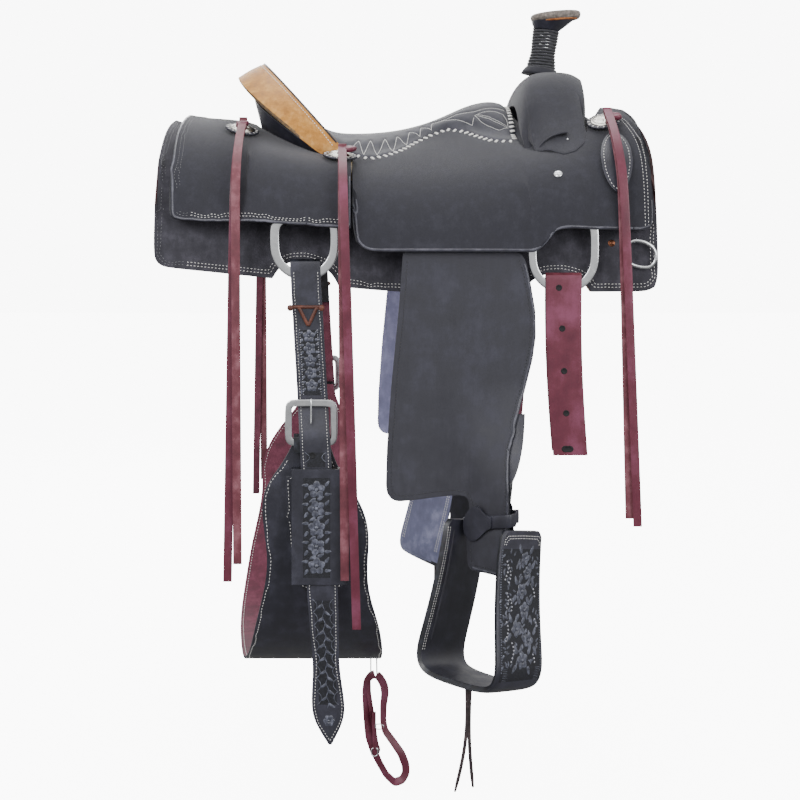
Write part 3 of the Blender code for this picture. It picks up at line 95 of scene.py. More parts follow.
def srgb(code):
    """A hex colour as the linear values that a shader takes."""
    parts = [int(code[i : i + 2], 16) / 255 for i in (1, 3, 5)]
    return tuple(p / 12.92 if p <= 0.04045 else ((p + 0.055) / 1.055) ** 2.4 for p in parts) + (1.0,)


def put(tree, kind, settings=None, links=None):
    """Adds a node; settings fill its properties and sockets, links bring other nodes' outputs in."""
    made = tree.nodes.new(kind)
    for key, value in (settings or {}).items():
        if isinstance(key, str) and hasattr(made, key):
            setattr(made, key, value)
        else:
            made.inputs[key].default_value = value
    for key, output in (links or {}).items():
        tree.links.new(output, made.inputs[key])
    return made


floor_mesh = bpy.data.meshes.new("floor")
corners = [(x * FLOOR_HALF, y * FLOOR_HALF, FLOOR_Z) for x, y in ((-1, -1), (1, -1), (1, 1), (-1, 1))]
floor_mesh.from_pydata(corners, [], [(0, 1, 2, 3)])
floor = bpy.data.objects.new("floor", floor_mesh)
bpy.context.scene.collection.objects.link(floor)
paper = bpy.data.materials.new("white_paper")
paper.use_nodes = True
paper_look = {
    "Base Color": srgb("#f4f4f4"), "Roughness": 0.9, "Emission Color": WHITE, "Emission Strength": WHITE_SEEN,
}
for socket, value in paper_look.items():
    paper.node_tree.nodes["Principled BSDF"].inputs[socket].default_value = value
floor_mesh.materials.append(paper)
floor.visible_diffuse = False
floor.visible_glossy = False

sky = bpy.data.worlds.new("studio")
bpy.context.scene.world = sky
sky.use_nodes = True
air = sky.node_tree
background = air.nodes["Background"]
background.inputs["Color"].default_value = WHITE
rays = put(air, "ShaderNodeLightPath")
strength = put(
    air, "ShaderNodeMapRange",
    {"To Min": SKY_LIGHT, "To Max": WHITE_SEEN}, {"Value": rays.outputs["Is Camera Ray"]},
)
# Polished metal is lit against a dark table edge, so what it mirrors fades from the lit room to the dark
direction = put(air, "ShaderNodeTexCoord")
height = put(air, "ShaderNodeSeparateXYZ", links={0: direction.outputs["Generated"]})
mirrored = put(
    air, "ShaderNodeMapRange",
    {"From Min": MIRRORED_LOW, "From Max": MIRRORED_HIGH, "To Min": MIRRORED_DARK, "To Max": MIRRORED_LIGHT},
    {"Value": height.outputs["Z"]},
)
share = put(
    air, "ShaderNodeMapRange", {"To Min": 1.0},
    {"Value": rays.outputs["Is Glossy Ray"], "To Max": mirrored.outputs[0]},
)
total = put(air, "ShaderNodeMath", {"operation": "MULTIPLY"}, {0: strength.outputs[0], 1: share.outputs[0]})
air.links.new(total.outputs[0], background.inputs["Strength"])

# name, place, size in metres, power in watts
LAMPS = (
    ("key_softbox", (-1.7, -2.4, 1.3), 1.6, 62.0),
    ("fill_softbox", (1.9, -2.3, 0.5), 1.5, 40.0),
    ("top_softbox", (0.1, 0.6, 2.3), 1.8, 42.0),
    ("back_softbox", (-0.6, 2.4, 0.9), 1.6, 34.0),
)
for name, place, size, power in LAMPS:
    light = bpy.data.lights.new(name, "AREA")
    light.size = size
    light.energy = power
    lamp = bpy.data.objects.new(name, light)
    lamp.location = place
    lamp.rotation_euler = (Vector((0, 0, -0.3)) - Vector(place)).to_track_quat("-Z", "Y").to_euler()
    bpy.context.scene.collection.objects.link(lamp)
print(len(LAMPS), "soft lights")


# %% [markdown]
# ## Finishes
# Every finish is procedural: it is computed in the object's own metres, so the grain has its real size
# on each piece. Each step that several finishes share is one small function.

# %% Nodes that the finishes share
def begin(name, roughness, metallic=0.0, **sockets):
    """A new material with its shader, and the piece's own coordinates in metres."""
    made = bpy.data.materials.new(name)
    made.use_nodes = True
    tree = made.node_tree
    shader = tree.nodes["Principled BSDF"]
    shader.inputs["Roughness"].default_value = roughness
    shader.inputs["Metallic"].default_value = metallic
    for key, value in sockets.items():
        shader.inputs[key.replace("_", " ")].default_value = value
    place = put(tree, "ShaderNodeTexCoord").outputs["Object"]
    return made, tree, shader, place


def per_mm(size):
    """Noise scale that gives features of this size in millimetres."""
    return 1.0 / (size * MM)


def speckle(tree, place, size_mm, detail, **more):
    """Noise whose features are size_mm wide."""
    settings = {"Scale": per_mm(size_mm), "Detail": detail, **more}
    return put(tree, "ShaderNodeTexNoise", settings, {"Vector": place}).outputs["Fac"]


def blend(tree, share, first, second):
    """The first level times a share, plus the second."""
    return put(
        tree, "ShaderNodeMath", {"operation": "MULTIPLY_ADD", 1: share}, {0: first, 2: second},
    ).outputs[0]


def ramped(tree, shader, level, stops):
    """Colours the surface by a level; each stop is a position and a hex colour."""
    ramp = put(tree, "ShaderNodeValToRGB", links={"Fac": level})
    elements = ramp.color_ramp.elements
    for element, (position, code) in ((elements[0], stops[0]), (elements[1], stops[-1])):
        element.position = position
        element.color = srgb(code)
    for position, code in stops[1:-1]:
        elements.new(position).color = srgb(code)
    tree.links.new(ramp.outputs["Color"], shader.inputs["Base Color"])


def two_tones(tree, shader, level, shade, lift):
    """Colours the surface between two hex colours by a level."""
    tone = put(tree, "ShaderNodeMix", {"data_type": "RGBA", 6: srgb(shade), 7: srgb(lift)}, {0: level})
    tree.links.new(tone.outputs[2], shader.inputs["Base Color"])


def varied(tree, shader, level, roughness, spread):
    """Roughness that follows a level, up to spread on either side."""
    reach = {
        "From Min": 0.3, "From Max": 0.7, "To Min": roughness - spread,
        "To Max": min(1.0, roughness + spread),
    }
    rough = put(tree, "ShaderNodeMapRange", reach, {"Value": level})
    tree.links.new(rough.outputs[0], shader.inputs["Roughness"])


def raised(tree, shader, level, strength, relief_mm):
    """A bump of relief_mm from a level."""
    bump = put(tree, "ShaderNodeBump", {"Strength": strength, "Distance": relief_mm * MM}, {"Height": level})
    tree.links.new(bump.outputs["Normal"], shader.inputs["Normal"])


def stretched(tree, place, share):
    """The piece's coordinates drawn out along its height."""
    return put(tree, "ShaderNodeMapping", {"Scale": (1.0, 1.0, share)}, {"Vector": place}).outputs[0]


# %% [markdown]
# ## Leather
# Leather is tanned hide. Its grain side is smooth, with fine pores. Its flesh side, turned outwards on
# rough-out saddles, is a short matt nap that catches light in patches where a hand has brushed it.
# Both are one recipe here: a slow mottle from dyeing, a fast grain, streaks along the hide, and a bump
# from the grain, with each scale in millimetres.

# %% The leather recipe
def leather(name, dark, middle, light, mottle_mm, grain_mm, relief_mm, roughness, spread, pores, **sockets):
    """dark, middle and light are hex colours; spread is how far the roughness varies; pores is 0 to 1."""
    made, tree, shader, place = begin(name, roughness, **sockets)
    mottle = speckle(tree, place, mottle_mm, 5.0, Roughness=0.62)
    streaks = speckle(tree, stretched(tree, place, 0.22), mottle_mm * 0.35, 6.0, Roughness=0.7)
    grain = speckle(tree, place, grain_mm, 3.0, Roughness=0.6)
    pore = put(
        tree, "ShaderNodeTexVoronoi", {"Scale": per_mm(grain_mm * 1.6)}, {"Vector": place},
    ).outputs["Distance"]
    level = blend(tree, 0.22, grain, blend(tree, 0.35, streaks, mottle))
    ramped(tree, shader, level, ((0.44, dark), (0.78, middle), (1.16, light)))
    varied(tree, shader, mottle, roughness, spread)
    raised(tree, shader, blend(tree, pores, pore, grain), 0.8, relief_mm)
    return made


# %% [markdown]
# Rough-out skirting leather, dyed charcoal: no gloss, a soft sheen from the nap, brushed patches.

# %% Rough-out, black, burgundy and tan leathers
ROUGH_OUT = leather(
    "rough_out_skirting_leather", "#2a2a30", "#313138", "#3a3a42", 18.0, 0.9, 0.45, 0.86, 0.08, 0.2,
    Sheen_Weight=0.22, Sheen_Roughness=0.45, Specular_IOR_Level=0.25,
)
ROUGH_SKIRT = leather(
    "rough_out_lower_skirt", "#302f35", "#3f3e45", "#504e57", 16.0, 1.1, 0.5, 0.9, 0.06, 0.2,
    Sheen_Weight=0.2, Sheen_Roughness=0.5, Specular_IOR_Level=0.2,
)
FENDER_HIDE = leather(
    "brushed_fender_leather", "#2c2c33", "#35353d", "#40404a", 30.0, 0.7, 0.25, 0.66, 0.12, 0.2,
    Sheen_Weight=0.1, Specular_IOR_Level=0.4,
)
BLACK_GRAIN = leather(
    "waxed_black_bridle_leather", "#24242c", "#2e2e38", "#3b3b48", 24.0, 0.8, 0.16, 0.42, 0.10, 0.5,
    Specular_IOR_Level=0.5,
)
BURGUNDY = leather(
    "oiled_latigo_leather", "#4a1a2a", "#66283a", "#80405a", 50.0, 1.0, 0.12, 0.40, 0.10, 0.5,
    Specular_IOR_Level=0.5,
)
BURGUNDY_FLESH = leather(
    "latigo_flesh_side", "#4a2230", "#6a3345", "#84485c", 20.0, 0.8, 0.3, 0.85, 0.08, 0.2, Sheen_Weight=0.15,
)
CUT_EDGE = leather(
    "burnished_cut_edge", "#471d26", "#6e3540", "#96606a", 30.0, 0.6, 0.1, 0.5, 0.10, 0.2,
)
SKIRT_EDGE = leather(
    "dyed_skirt_edge", "#24191d", "#3c2226", "#5c3534", 12.0, 0.6, 0.1, 0.5, 0.10, 0.2,
)
DARK_EDGE = leather(
    "dyed_burnished_edge", "#101013", "#1b1c22", "#2e313b", 8.0, 0.6, 0.1, 0.36, 0.10, 0.2,
)
ROLL_TAN = leather(
    "golden_skirting_leather", "#8a5519", "#c08437", "#dca95f", 14.0, 1.1, 0.14, 0.46, 0.10, 0.5,
    Specular_IOR_Level=0.45,
)
ROLL_UNDER = leather(
    "darker_underside_leather", "#3c332b", "#6c5842", "#a5834f", 7.0, 1.0, 0.25, 0.7, 0.10, 0.3,
)
VIOLET_FLESH = leather(
    "violet_grey_flesh_side", "#62637f", "#8082a6", "#a0a2c8", 40.0, 0.9, 0.3, 0.8, 0.08, 0.2, Sheen_Weight=0.2,
)
LACE_BROWN = leather(
    "brown_lace_leather", "#3a1f18", "#5d3226", "#7d4a38", 12.0, 0.7, 0.15, 0.5, 0.1, 0.3,
)
print("leathers:", sum("leather" in m.name for m in bpy.data.materials))


# %% [markdown]
# ## Wool, thread, cord and rawhide
# The skirts are lined with shorn sheepskin, whose locks are 4 to 8 mm wide. The pile is shorn short, so
# the finish gives each lock its tint and relief. Saddle thread is bonded, waxed nylon about 1 mm thick.
# The horn's neck is wound with black braided cord.

# %% Fleece
def fleece_wool():
    made, tree, shader, place = begin("shorn_sheepskin", 0.95, Sheen_Weight=0.5, Sheen_Roughness=0.4)
    locks = speckle(tree, place, 7.0, 4.0, Roughness=0.7)
    level = blend(tree, 0.35, speckle(tree, place, 0.9, 2.0), locks)
    ramped(tree, shader, level, ((0.42, "#8c6238"), (0.85, "#d9b384")))
    raised(tree, shader, level, 0.9, 1.0)
    return made


WOOL = fleece_wool()


# %% Thread and cord
def spun(name, shade, lift, strand_mm, relief_mm, roughness):
    """Twisted yarn: fine diagonal ridges of strand_mm, in two tones."""
    made, tree, shader, place = begin(name, roughness, Sheen_Weight=0.2)
    ridges = put(
        tree,
        "ShaderNodeTexWave",
        {"bands_direction": "DIAGONAL", "Scale": 0.31 * per_mm(strand_mm), "Distortion": 1.5, "Detail": 2.0},
        {"Vector": place},
    )
    two_tones(tree, shader, ridges.outputs["Fac"], shade, lift)
    raised(tree, shader, ridges.outputs["Fac"], 0.7, relief_mm)
    return made


THREAD = spun("waxed_white_nylon_thread", "#e9e7e2", "#fbfaf7", 0.4, 0.08, 0.55)
# The white thread painted grey: painted shade for the rows along the rear edges.
THREAD_PAINTED_SHADE = spun("white_thread_painted_shade", "#5a5a5e", "#8a8a8e", 0.4, 0.08, 0.55)
THREAD_DARK = spun("waxed_black_nylon_thread", "#121214", "#2c2d33", 0.4, 0.08, 0.5)
CORD = spun("braided_black_horn_cord", "#17171b", "#35363e", 0.7, 0.2, 0.6)
LACE_WHITE = spun("rawhide_buckstitch_lace", "#efece6", "#fdfcf9", 1.2, 0.05, 0.5)


# %% Rawhide over wood
def rawhide():
    made, tree, shader, place = begin("varnished_rawhide", 0.45, Coat_Weight=0.3, Coat_Roughness=0.3)
    ramped(tree, shader, speckle(tree, place, 30.0, 5.0), ((0.3, "#a98c5c"), (0.75, "#d9c79c")))
    raised(tree, shader, speckle(tree, place, 2.0, 3.0), 0.5, 0.3)
    return made


RAWHIDE = rawhide()


# %% [markdown]
# ## Metal
# The dees and buckles are stainless steel, stamped and tumbled to a soft polish, with fine scratches
# from use. The conchos are silver-plated and bright cut. Copper rivets have dulled. The metals keep the
# default IOR: metallic 1 sets how they reflect.

# %% Steel, silver and copper
def metal(name, shade, lift, roughness, spread, scratch_mm, relief_mm):
    """Worn metal between two tones, with fine scratches along its height."""
    made, tree, shader, place = begin(name, roughness, metallic=1.0)
    wear = speckle(tree, place, 9.0, 6.0, Roughness=0.7)
    two_tones(tree, shader, wear, shade, lift)
    varied(tree, shader, wear, roughness, spread)
    raised(tree, shader, speckle(tree, stretched(tree, place, 0.08), scratch_mm, 4.0), 0.3, relief_mm)
    return made


STEEL = metal("polished_stainless_steel", "#c2c4c8", "#f3f4f6", 0.17, 0.06, 0.5, 0.03)
SILVER = metal("bright_cut_silver_plate", "#8d8a82", "#e6e3dc", 0.26, 0.10, 0.9, 0.10)
COPPER = metal("dulled_copper", "#5c3a2c", "#99654c", 0.32, 0.10, 0.6, 0.05)
print("materials so far:", len(bpy.data.materials))


# %% [markdown]
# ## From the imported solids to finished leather
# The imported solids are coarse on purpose. A leather piece keeps their shape but needs an eased edge and a
# smooth face. So each one is copied, its triangle pairs go back to four-sided faces, its sharp edges are
# bevelled and it is subdivided. The faces fall into groups between the sharp edges: the two largest are
# the face and the back of the hide, and the narrow ones are its cut edge, which takes its own finish.

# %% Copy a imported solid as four-sided faces
SHARP = math.radians(38)


def shell(node):
    """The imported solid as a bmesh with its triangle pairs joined."""
    bm = bmesh.new()
    bm.from_mesh(NODES[node].data)
    bmesh.ops.remove_doubles(bm, verts=bm.verts, dist=0.02 * MM)
    bmesh.ops.dissolve_degenerate(bm, dist=0.02 * MM, edges=bm.edges)
    bmesh.ops.join_triangles(
        bm, faces=bm.faces, angle_face_threshold=math.radians(50), angle_shape_threshold=math.radians(150)
    )
    bmesh.ops.recalc_face_normals(bm, faces=bm.faces)
    bm.faces.ensure_lookup_table()
    return bm


def patches(bm):
    """Groups of faces that meet at less than the sharp angle, the largest area first."""
    seen, found = set(), []
    for start in bm.faces:
        if start.index in seen:
            continue
        seen.add(start.index)
        group, waiting = [], [start]
        while waiting:
            face = waiting.pop()
            group.append(face)
            for edge in face.edges:
                if len(edge.link_faces) == 2 and edge.calc_face_angle(0.0) < SHARP:
                    for other in edge.link_faces:
                        if other.index not in seen:
                            seen.add(other.index)
                            waiting.append(other)
        found.append(group)
    return sorted(found, key=lambda g: -sum(f.calc_area() for f in g))


def outline_of(group):
    """Closed lines of points round a group of faces, in order."""
    inside = set(f.index for f in group)
    steps = {}
    for face in group:
        for loop in face.loops:
            others = [f for f in loop.edge.link_faces if f.index != face.index]
            if not any(f.index in inside for f in others):
                steps.setdefault(loop.vert.index, []).append((loop.link_loop_next.vert.index, loop))
    lines = []
    while steps:
        first = next(iter(steps))
        here, line = first, []
        while here in steps:
            there, loop = steps[here].pop()
            if not steps[here]:
                del steps[here]
            line.append((loop.vert.co.copy(), loop.face.normal.copy()))
            here = there
        if len(line) > 3:
            lines.append(line)
    return sorted(lines, key=lambda line: -len(line))


def join_rows(bm, rows):
    """Faces between open rows of vertices."""
    for low, high in zip(rows[:-1], rows[1:]):
        for p, q, r, s in zip(low[:-1], low[1:], high[1:], high[:-1]):
            bm.faces.new((p, q, r, s))


def join_rings(bm, rings, ends=True, closed=False):
    """Faces between rings of vertices, with a cap at each end unless the rings close on themselves."""
    for low, high in zip(rings, rings[1:] + (rings[:1] if closed else [])):
        for k in range(len(low)):
            kk = (k + 1) % len(low)
            bm.faces.new((low[k], low[kk], high[kk], high[k]))
    if ends and not closed:
        bm.faces.new(rings[0][::-1])
        bm.faces.new(rings[-1])


print("helpers ready")

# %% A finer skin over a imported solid
SKINS = {}


def carry(obj, node):
    """The piece rides on its node's body."""
    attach(obj, BODY_OF[node])
    return obj


def new_piece(name, bm, materials):
    """A smooth-shaded object made from a bmesh."""
    mesh = bpy.data.meshes.new(name)
    bm.normal_update()
    bm.to_mesh(mesh)
    bm.free()
    for material in materials:
        mesh.materials.append(material)
    mesh.shade_smooth()
    obj = bpy.data.objects.new(name, mesh)
    bpy.context.scene.collection.objects.link(obj)
    return obj


def baked(obj):
    """Replaces the mesh by what its modifiers make of it."""
    bpy.context.view_layer.update()
    graph = bpy.context.evaluated_depsgraph_get()
    made = bpy.data.meshes.new_from_object(obj.evaluated_get(graph))
    obj.modifiers.clear()
    obj.data = made
    return obj


SADDLE_HEART = Vector((0.0, 0.0, -0.35))


def sideways(point):
    """Outwards from the saddle's middle plane."""
    return Vector((0.0, math.copysign(1.0, point.y), 0.0))


def tree_of(obj):
    """The object's surface, ready for rays and nearest points."""
    return BVHTree.FromObject(obj, bpy.context.evaluated_depsgraph_get())


def laid(name, bm, finish, node):
    """A new piece in one finish that rides with its node."""
    return carry(new_piece(name, bm, [finish]), node)


def eased_edges(obj, width_mm, segments=2):
    """Rounds the sharp edges."""
    bevel = obj.modifiers.new("eased edge", "BEVEL")
    bevel.width = width_mm * MM
    bevel.segments = segments
    bevel.limit_method = "ANGLE"
    bevel.angle_limit = SHARP
    baked(obj)
    obj.data.shade_smooth()
    return obj


def thicken(obj, thickness_mm):
    """Gives a sheet its thickness, on the inner side."""
    thick = obj.modifiers.new("hide", "SOLIDIFY")
    thick.thickness = thickness_mm * MM
    thick.offset = -1.0
    return baked(obj)


def away(node, heart=SADDLE_HEART):
    """A function that says which way is outwards at a point of this node."""
    low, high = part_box(node)
    if low.y > 0.0 or high.y < 0.0:
        return sideways
    return lambda point: (point - heart).normalized()


def dress(node, face, back=None, edge=None, ease_mm=0.9, levels=2, segments=2, heart=SADDLE_HEART):
    """A finished skin for a packed leather solid: face, back and cut edge in their own finishes."""
    bm = shell(node)
    groups = patches(bm)
    out = away(node, heart)
    weight = [sum(f.normal.dot(out(f.calc_center_median())) * f.calc_area() for f in g) for g in groups[:2]]
    if len(groups) > 1 and weight[1] > weight[0]:
        groups[0], groups[1] = groups[1], groups[0]
    for i, group in enumerate(groups):
        for f in group:
            f.material_index = min(i, 2)
    rims = outline_of(groups[0])
    back_rims = outline_of(groups[1]) if len(groups) > 1 else []
    obj = new_piece(f"{node}_skin", bm, [face, back or face, edge or back or face])
    if ease_mm:
        eased_edges(obj, ease_mm, segments)
    if levels:
        smooth = obj.modifiers.new("smooth", "SUBSURF")
        smooth.levels = levels
        smooth.render_levels = levels
    baked(obj)
    obj.data.shade_smooth()
    carry(obj, node)
    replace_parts(obj, node)
    SKINS[node] = {"obj": obj, "tree": tree_of(obj), "rims": rims, "back_rims": back_rims, "face_way": out}
    return obj


print("a skin keeps the packed size and adds an eased edge")


# %% [markdown]
# ## Stitching
# A saddle's edges are sewn with thick waxed thread, about six stitches to the inch, in a row a few
# millimetres in from the cut edge. Each stitch is its own small swelling of thread that dips into the
# leather at both ends. The rows start from the outline of the hide's face, moved inwards, so they
# follow every curve of the real edge.

# %% Lines that follow an edge
def along_line(points, step, closed=False):
    """Points at equal steps along a line."""
    places = [Vector(p) for p in points] + ([Vector(points[0])] if closed else [])
    lengths = [0.0]
    for a, b in zip(places[:-1], places[1:]):
        lengths.append(lengths[-1] + (b - a).length)
    count = max(2, int(lengths[-1] / step))
    xs = np.linspace(0.0, lengths[-1], count + 1)
    flat = np.array([p[:] for p in places])
    made = np.stack([np.interp(xs, lengths, flat[:, k]) for k in range(3)], axis=1)
    return [Vector(p) for p in (made[:-1] if closed else made)]


def softened(points, rounds, closed):
    """The same line with its corners rounded."""
    line = [p.copy() for p in points]
    for _ in range(rounds):
        count = len(line)
        line = [
            line[i] if not closed and i in (0, count - 1)
            else line[i] * 0.5 + (line[(i - 1) % count] + line[(i + 1) % count]) * 0.25
            for i in range(count)
        ]
    return line


EVENED = 8
SAME_ROW = 6.0 * MM


def inside_edge(node, inset_mm, rounds=6, back=False):
    """Points and normals on the hide's face, or on its back, this far in from its edge."""
    skin = SKINS[node]
    raw = [co for co, _ in skin["back_rims" if back else "rims"][0]]
    turn = -1.0 if back else 1.0
    line = softened(along_line(raw, 2.0 * MM, closed=True), rounds, True)
    edge = np.array([p[:] for p in line])
    count = len(line)
    made = []
    for i, point in enumerate(line):
        ahead = (line[(i + 2) % count] - line[(i - 2) % count]).normalized()
        face = skin["tree"].find_nearest(point + 3 * MM * turn * skin["face_way"](point))[1]
        inward = face.cross(ahead).normalized()
        spot = point + inward * inset_mm * MM
        if np.linalg.norm(edge - np.array(spot[:]), axis=1).min() < 0.86 * inset_mm * MM:
            continue
        hit = skin["tree"].find_nearest(spot + face * 1.0 * MM)
        made.append((hit[0], hit[1]))
    for _ in range(EVENED):
        count = len(made)
        places = [
            made[i][0] * 0.5 + (made[i - 1][0] + made[(i + 1) % count][0]) * 0.25
            if max((made[i][0] - made[j % count][0]).length for j in (i - 1, i + 1)) < SAME_ROW
            else made[i][0]
            for i in range(count)
        ]
        made = [(skin["tree"].find_nearest(p + n * 1.0 * MM)[0], n) for p, (_, n) in zip(places, made)]
    return made


def runs(spots, keep, gap_mm=9.0):
    """Splits a closed row of (point, normal) where it leaves the kept region or jumps."""
    rows, row = [], []
    for point, normal in spots:
        if not keep(point) or (row and (point - row[-1][0]).length > gap_mm * MM):
            if len(row) > 2:
                rows.append(row)
            row = []
        if keep(point):
            row.append((point, normal))
    if len(row) > 2:
        rows.append(row)
    return rows


# %% Thread
STITCH_SHAPE = ((-1.0, 0.30, -0.9), (-0.62, 0.90, 0.05), (0.62, 0.90, 0.05), (1.0, 0.30, -0.9))
THREAD_SIDES = 5


def sew(bm, row, pitch_mm=4.2, length_mm=3.1, radius_mm=0.55, tilt=0.0, flat=0.8):
    """Adds one row of stitches through (point, normal) places; tilt turns each one across the row."""
    points = [p for p, _ in row]
    lengths = np.concatenate([[0.0], np.cumsum([(b - a).length for a, b in zip(points[:-1], points[1:])])])
    total = lengths[-1]
    count = max(1, int(total / (pitch_mm * MM)))
    places = np.array([p[:] for p in points])
    normals = np.array([n[:] for _, n in row])
    half = length_mm * MM / 2
    radius = radius_mm * MM
    for k in range(count):
        at = (k + 0.5) * total / count
        lo, hi, mid = [
            Vector([np.interp(at + d, lengths, places[:, j]) for j in range(3)]) for d in (-half, half, 0.0)
        ]
        up = Vector([np.interp(at, lengths, normals[:, j]) for j in range(3)]).normalized()
        way = (hi - lo).normalized()
        across = up.cross(way).normalized()
        way = (way * math.cos(tilt) + across * math.sin(tilt)).normalized()
        across = up.cross(way).normalized()
        rings = []
        for share, wide, rise in STITCH_SHAPE:
            centre = mid + way * half * share + up * radius * flat * (1.25 * rise + 0.3)
            rings.append(
                [
                    bm.verts.new(
                        centre
                        + across * radius * wide * math.cos(2 * math.pi * j / THREAD_SIDES)
                        + up * radius * flat * wide * math.sin(2 * math.pi * j / THREAD_SIDES)
                    )
                    for j in range(THREAD_SIDES)
                ]
            )
        join_rings(bm, rings)
    return count


def stitch_edges(node, insets_mm, thread, keep=lambda p: True, name=None, back=False, **size):
    """Rows of stitches inside the edge of a dressed hide."""
    bm = bmesh.new()
    count = 0
    for inset in insets_mm:
        for row in runs(inside_edge(node, inset, back=back), keep):
            count += sew(bm, row, **size)
    obj = laid(name or f"{node}_stitching", bm, thread, node)
    print(obj.name, count, "stitches")


# %% Lines laid on a face
def dropped(tree, points, way, back=0.06, reach=0.30):
    """(point, normal) where each point lands on a surface when it is moved along way."""
    way = Vector(way).normalized()
    found = []
    for point in points:
        hit, normal, _, _ = tree.ray_cast(Vector(point) - way * back, way, reach)
        if hit is not None:
            found.append((hit, normal if normal.dot(way) < 0 else -normal))
    return found


def sew_lines(name, node, lines, thread, way=(0, 0, -1), **size):
    """Stitches along free lines on the finished face of a node."""
    bm = bmesh.new()
    count = 0
    for line in lines:
        row = dropped(SKINS[node]["tree"], along_line(line, 2.0 * MM), way)
        if len(row) > 2:
            count += sew(bm, row, **size)
    laid(name, bm, thread, node)
    print(name, count, "stitches")


# %% [markdown]
# ## Tooling
# Tooled leather is pressed while damp: the ground round each flower and leaf is beaten down with small
# stamps, so the motifs stand up. Here the motifs are small domed patches laid on the finished face,
# each with its own hollow or vein, and the ground is filled with seed beads. The flowers and leaves are
# the plain old stock of western carving, in a layout made for these pieces.

# %% Motifs as small height patches
def petal(x, y, turn, length, width, height, cup=0.5, tip=0.8, rows=5, cols=4):
    """A grid of (x, y, height) in millimetres: a rounded lobe that grows from its base."""
    c, s = math.cos(turn), math.sin(turn)
    grid = []
    for i in range(rows + 1):
        u = i / rows
        half = width / 2 * math.sin(math.pi * u**tip) ** 0.75 if 0 < u < 1 else 0.04 * width
        line = []
        for j in range(cols + 1):
            v = 2 * j / cols - 1
            a, b = u * length, v * half
            rise = height * (math.sin(math.pi * min(u, 0.999)) ** 0.4) * (1 - v * v) ** 0.4
            rise -= cup * height * (1 - abs(v)) * math.sin(math.pi * u)
            edge = i in (0, rows) or j in (0, cols)
            line.append((x + a * c - b * s, y + a * s + b * c, -0.25 if edge else rise))
        grid.append(line)
    return grid


def leaf(x, y, turn, length, width, height, bend=0.4):
    """A pointed leaf with a vein, whose line bends to one side."""
    grid = petal(0.0, 0.0, 0.0, length, width, height, cup=0.75, tip=0.75, rows=6, cols=4)
    c, s = math.cos(turn), math.sin(turn)
    made = []
    for line in grid:
        row = []
        for a, b, h in line:
            b += bend * length * (a / length) ** 2
            row.append((x + a * c - b * s, y + a * s + b * c, h))
        made.append(row)
    return made


def dome(x, y, radius, height, steps=6):
    """A round seed or a flower's centre."""
    rings = []
    for share, h in ((1.0, -0.2), (0.7, 0.75 * height), (0.05, height)):
        rings.append(
            [
                (
                    x + radius * share * math.cos(2 * math.pi * k / steps),
                    y + radius * share * math.sin(2 * math.pi * k / steps),
                    h,
                )
                for k in range(steps + 1)
            ]
        )
    return rings


def ridge(points, width, height):
    """A raised line, such as a stem or a border, through (x, y) points."""
    grid = []
    for i, (x, y) in enumerate(points):
        (xa, ya), (xb, yb) = points[max(i - 1, 0)], points[min(i + 1, len(points) - 1)]
        long = math.hypot(xb - xa, yb - ya) or 1.0
        nx, ny = -(yb - ya) / long, (xb - xa) / long
        across = ((-1, -0.2), (-0.45, height), (0.45, height), (1, -0.2))
        grid.append([(x + nx * width / 2 * v, y + ny * width / 2 * v, h) for v, h in across])
    return grid


def flower(x, y, radius, height, petals=5, turn=0.0):
    """Cupped petals round a seeded centre."""
    made = []
    for k in range(petals):
        way = turn + 2 * math.pi * k / petals
        made.append(
            petal(
                x + 0.16 * radius * math.cos(way), y + 0.16 * radius * math.sin(way),
                way, 0.84 * radius, 0.95 * radius, height,
            )
        )
    made.append(dome(x, y, 0.24 * radius, height * 1.3, 8))
    return made


print("motifs: petal, leaf, dome, ridge and flower")


# %% Lay motifs on a face
START_OUT, RAY_DEPTH, MOST_SLOPE = 0.03, 0.08, 0.012


def press(name, node, finish, grids, middle, across, upward, inward):
    """Each motif point is dropped along inward onto the node's finished face, then raised by its height."""
    tree = SKINS[node]["tree"]
    middle, across, upward, inward = Vector(middle), Vector(across), Vector(upward), Vector(inward)
    bm = bmesh.new()
    count = 0
    for grid in grids:
        rows = []
        for line in grid:
            row = []
            for a, b, h in line:
                start = middle + across * a * MM + upward * b * MM - inward * START_OUT
                hit = tree.ray_cast(start, inward, RAY_DEPTH)[0]
                row.append(None if hit is None else hit - inward * h * MM)
            rows.append(row)
        if any(p is None for row in rows for p in row):
            continue
        depth = [(p - middle).dot(inward) for row in rows for p in row]
        if max(depth) - min(depth) > MOST_SLOPE:
            continue
        count += 1
        join_rows(bm, [[bm.verts.new(p) for p in row] for row in rows])
    bmesh.ops.remove_doubles(bm, verts=bm.verts, dist=0.01 * MM)
    bmesh.ops.dissolve_degenerate(bm, dist=0.005 * MM, edges=bm.edges)
    bm.normal_update()
    total = sum((f.normal * f.calc_area() for f in bm.faces), Vector())
    if total.dot(inward) > 0:
        bmesh.ops.reverse_faces(bm, faces=bm.faces)
    laid(name, bm, finish, node)
    print(name, count, "motifs")


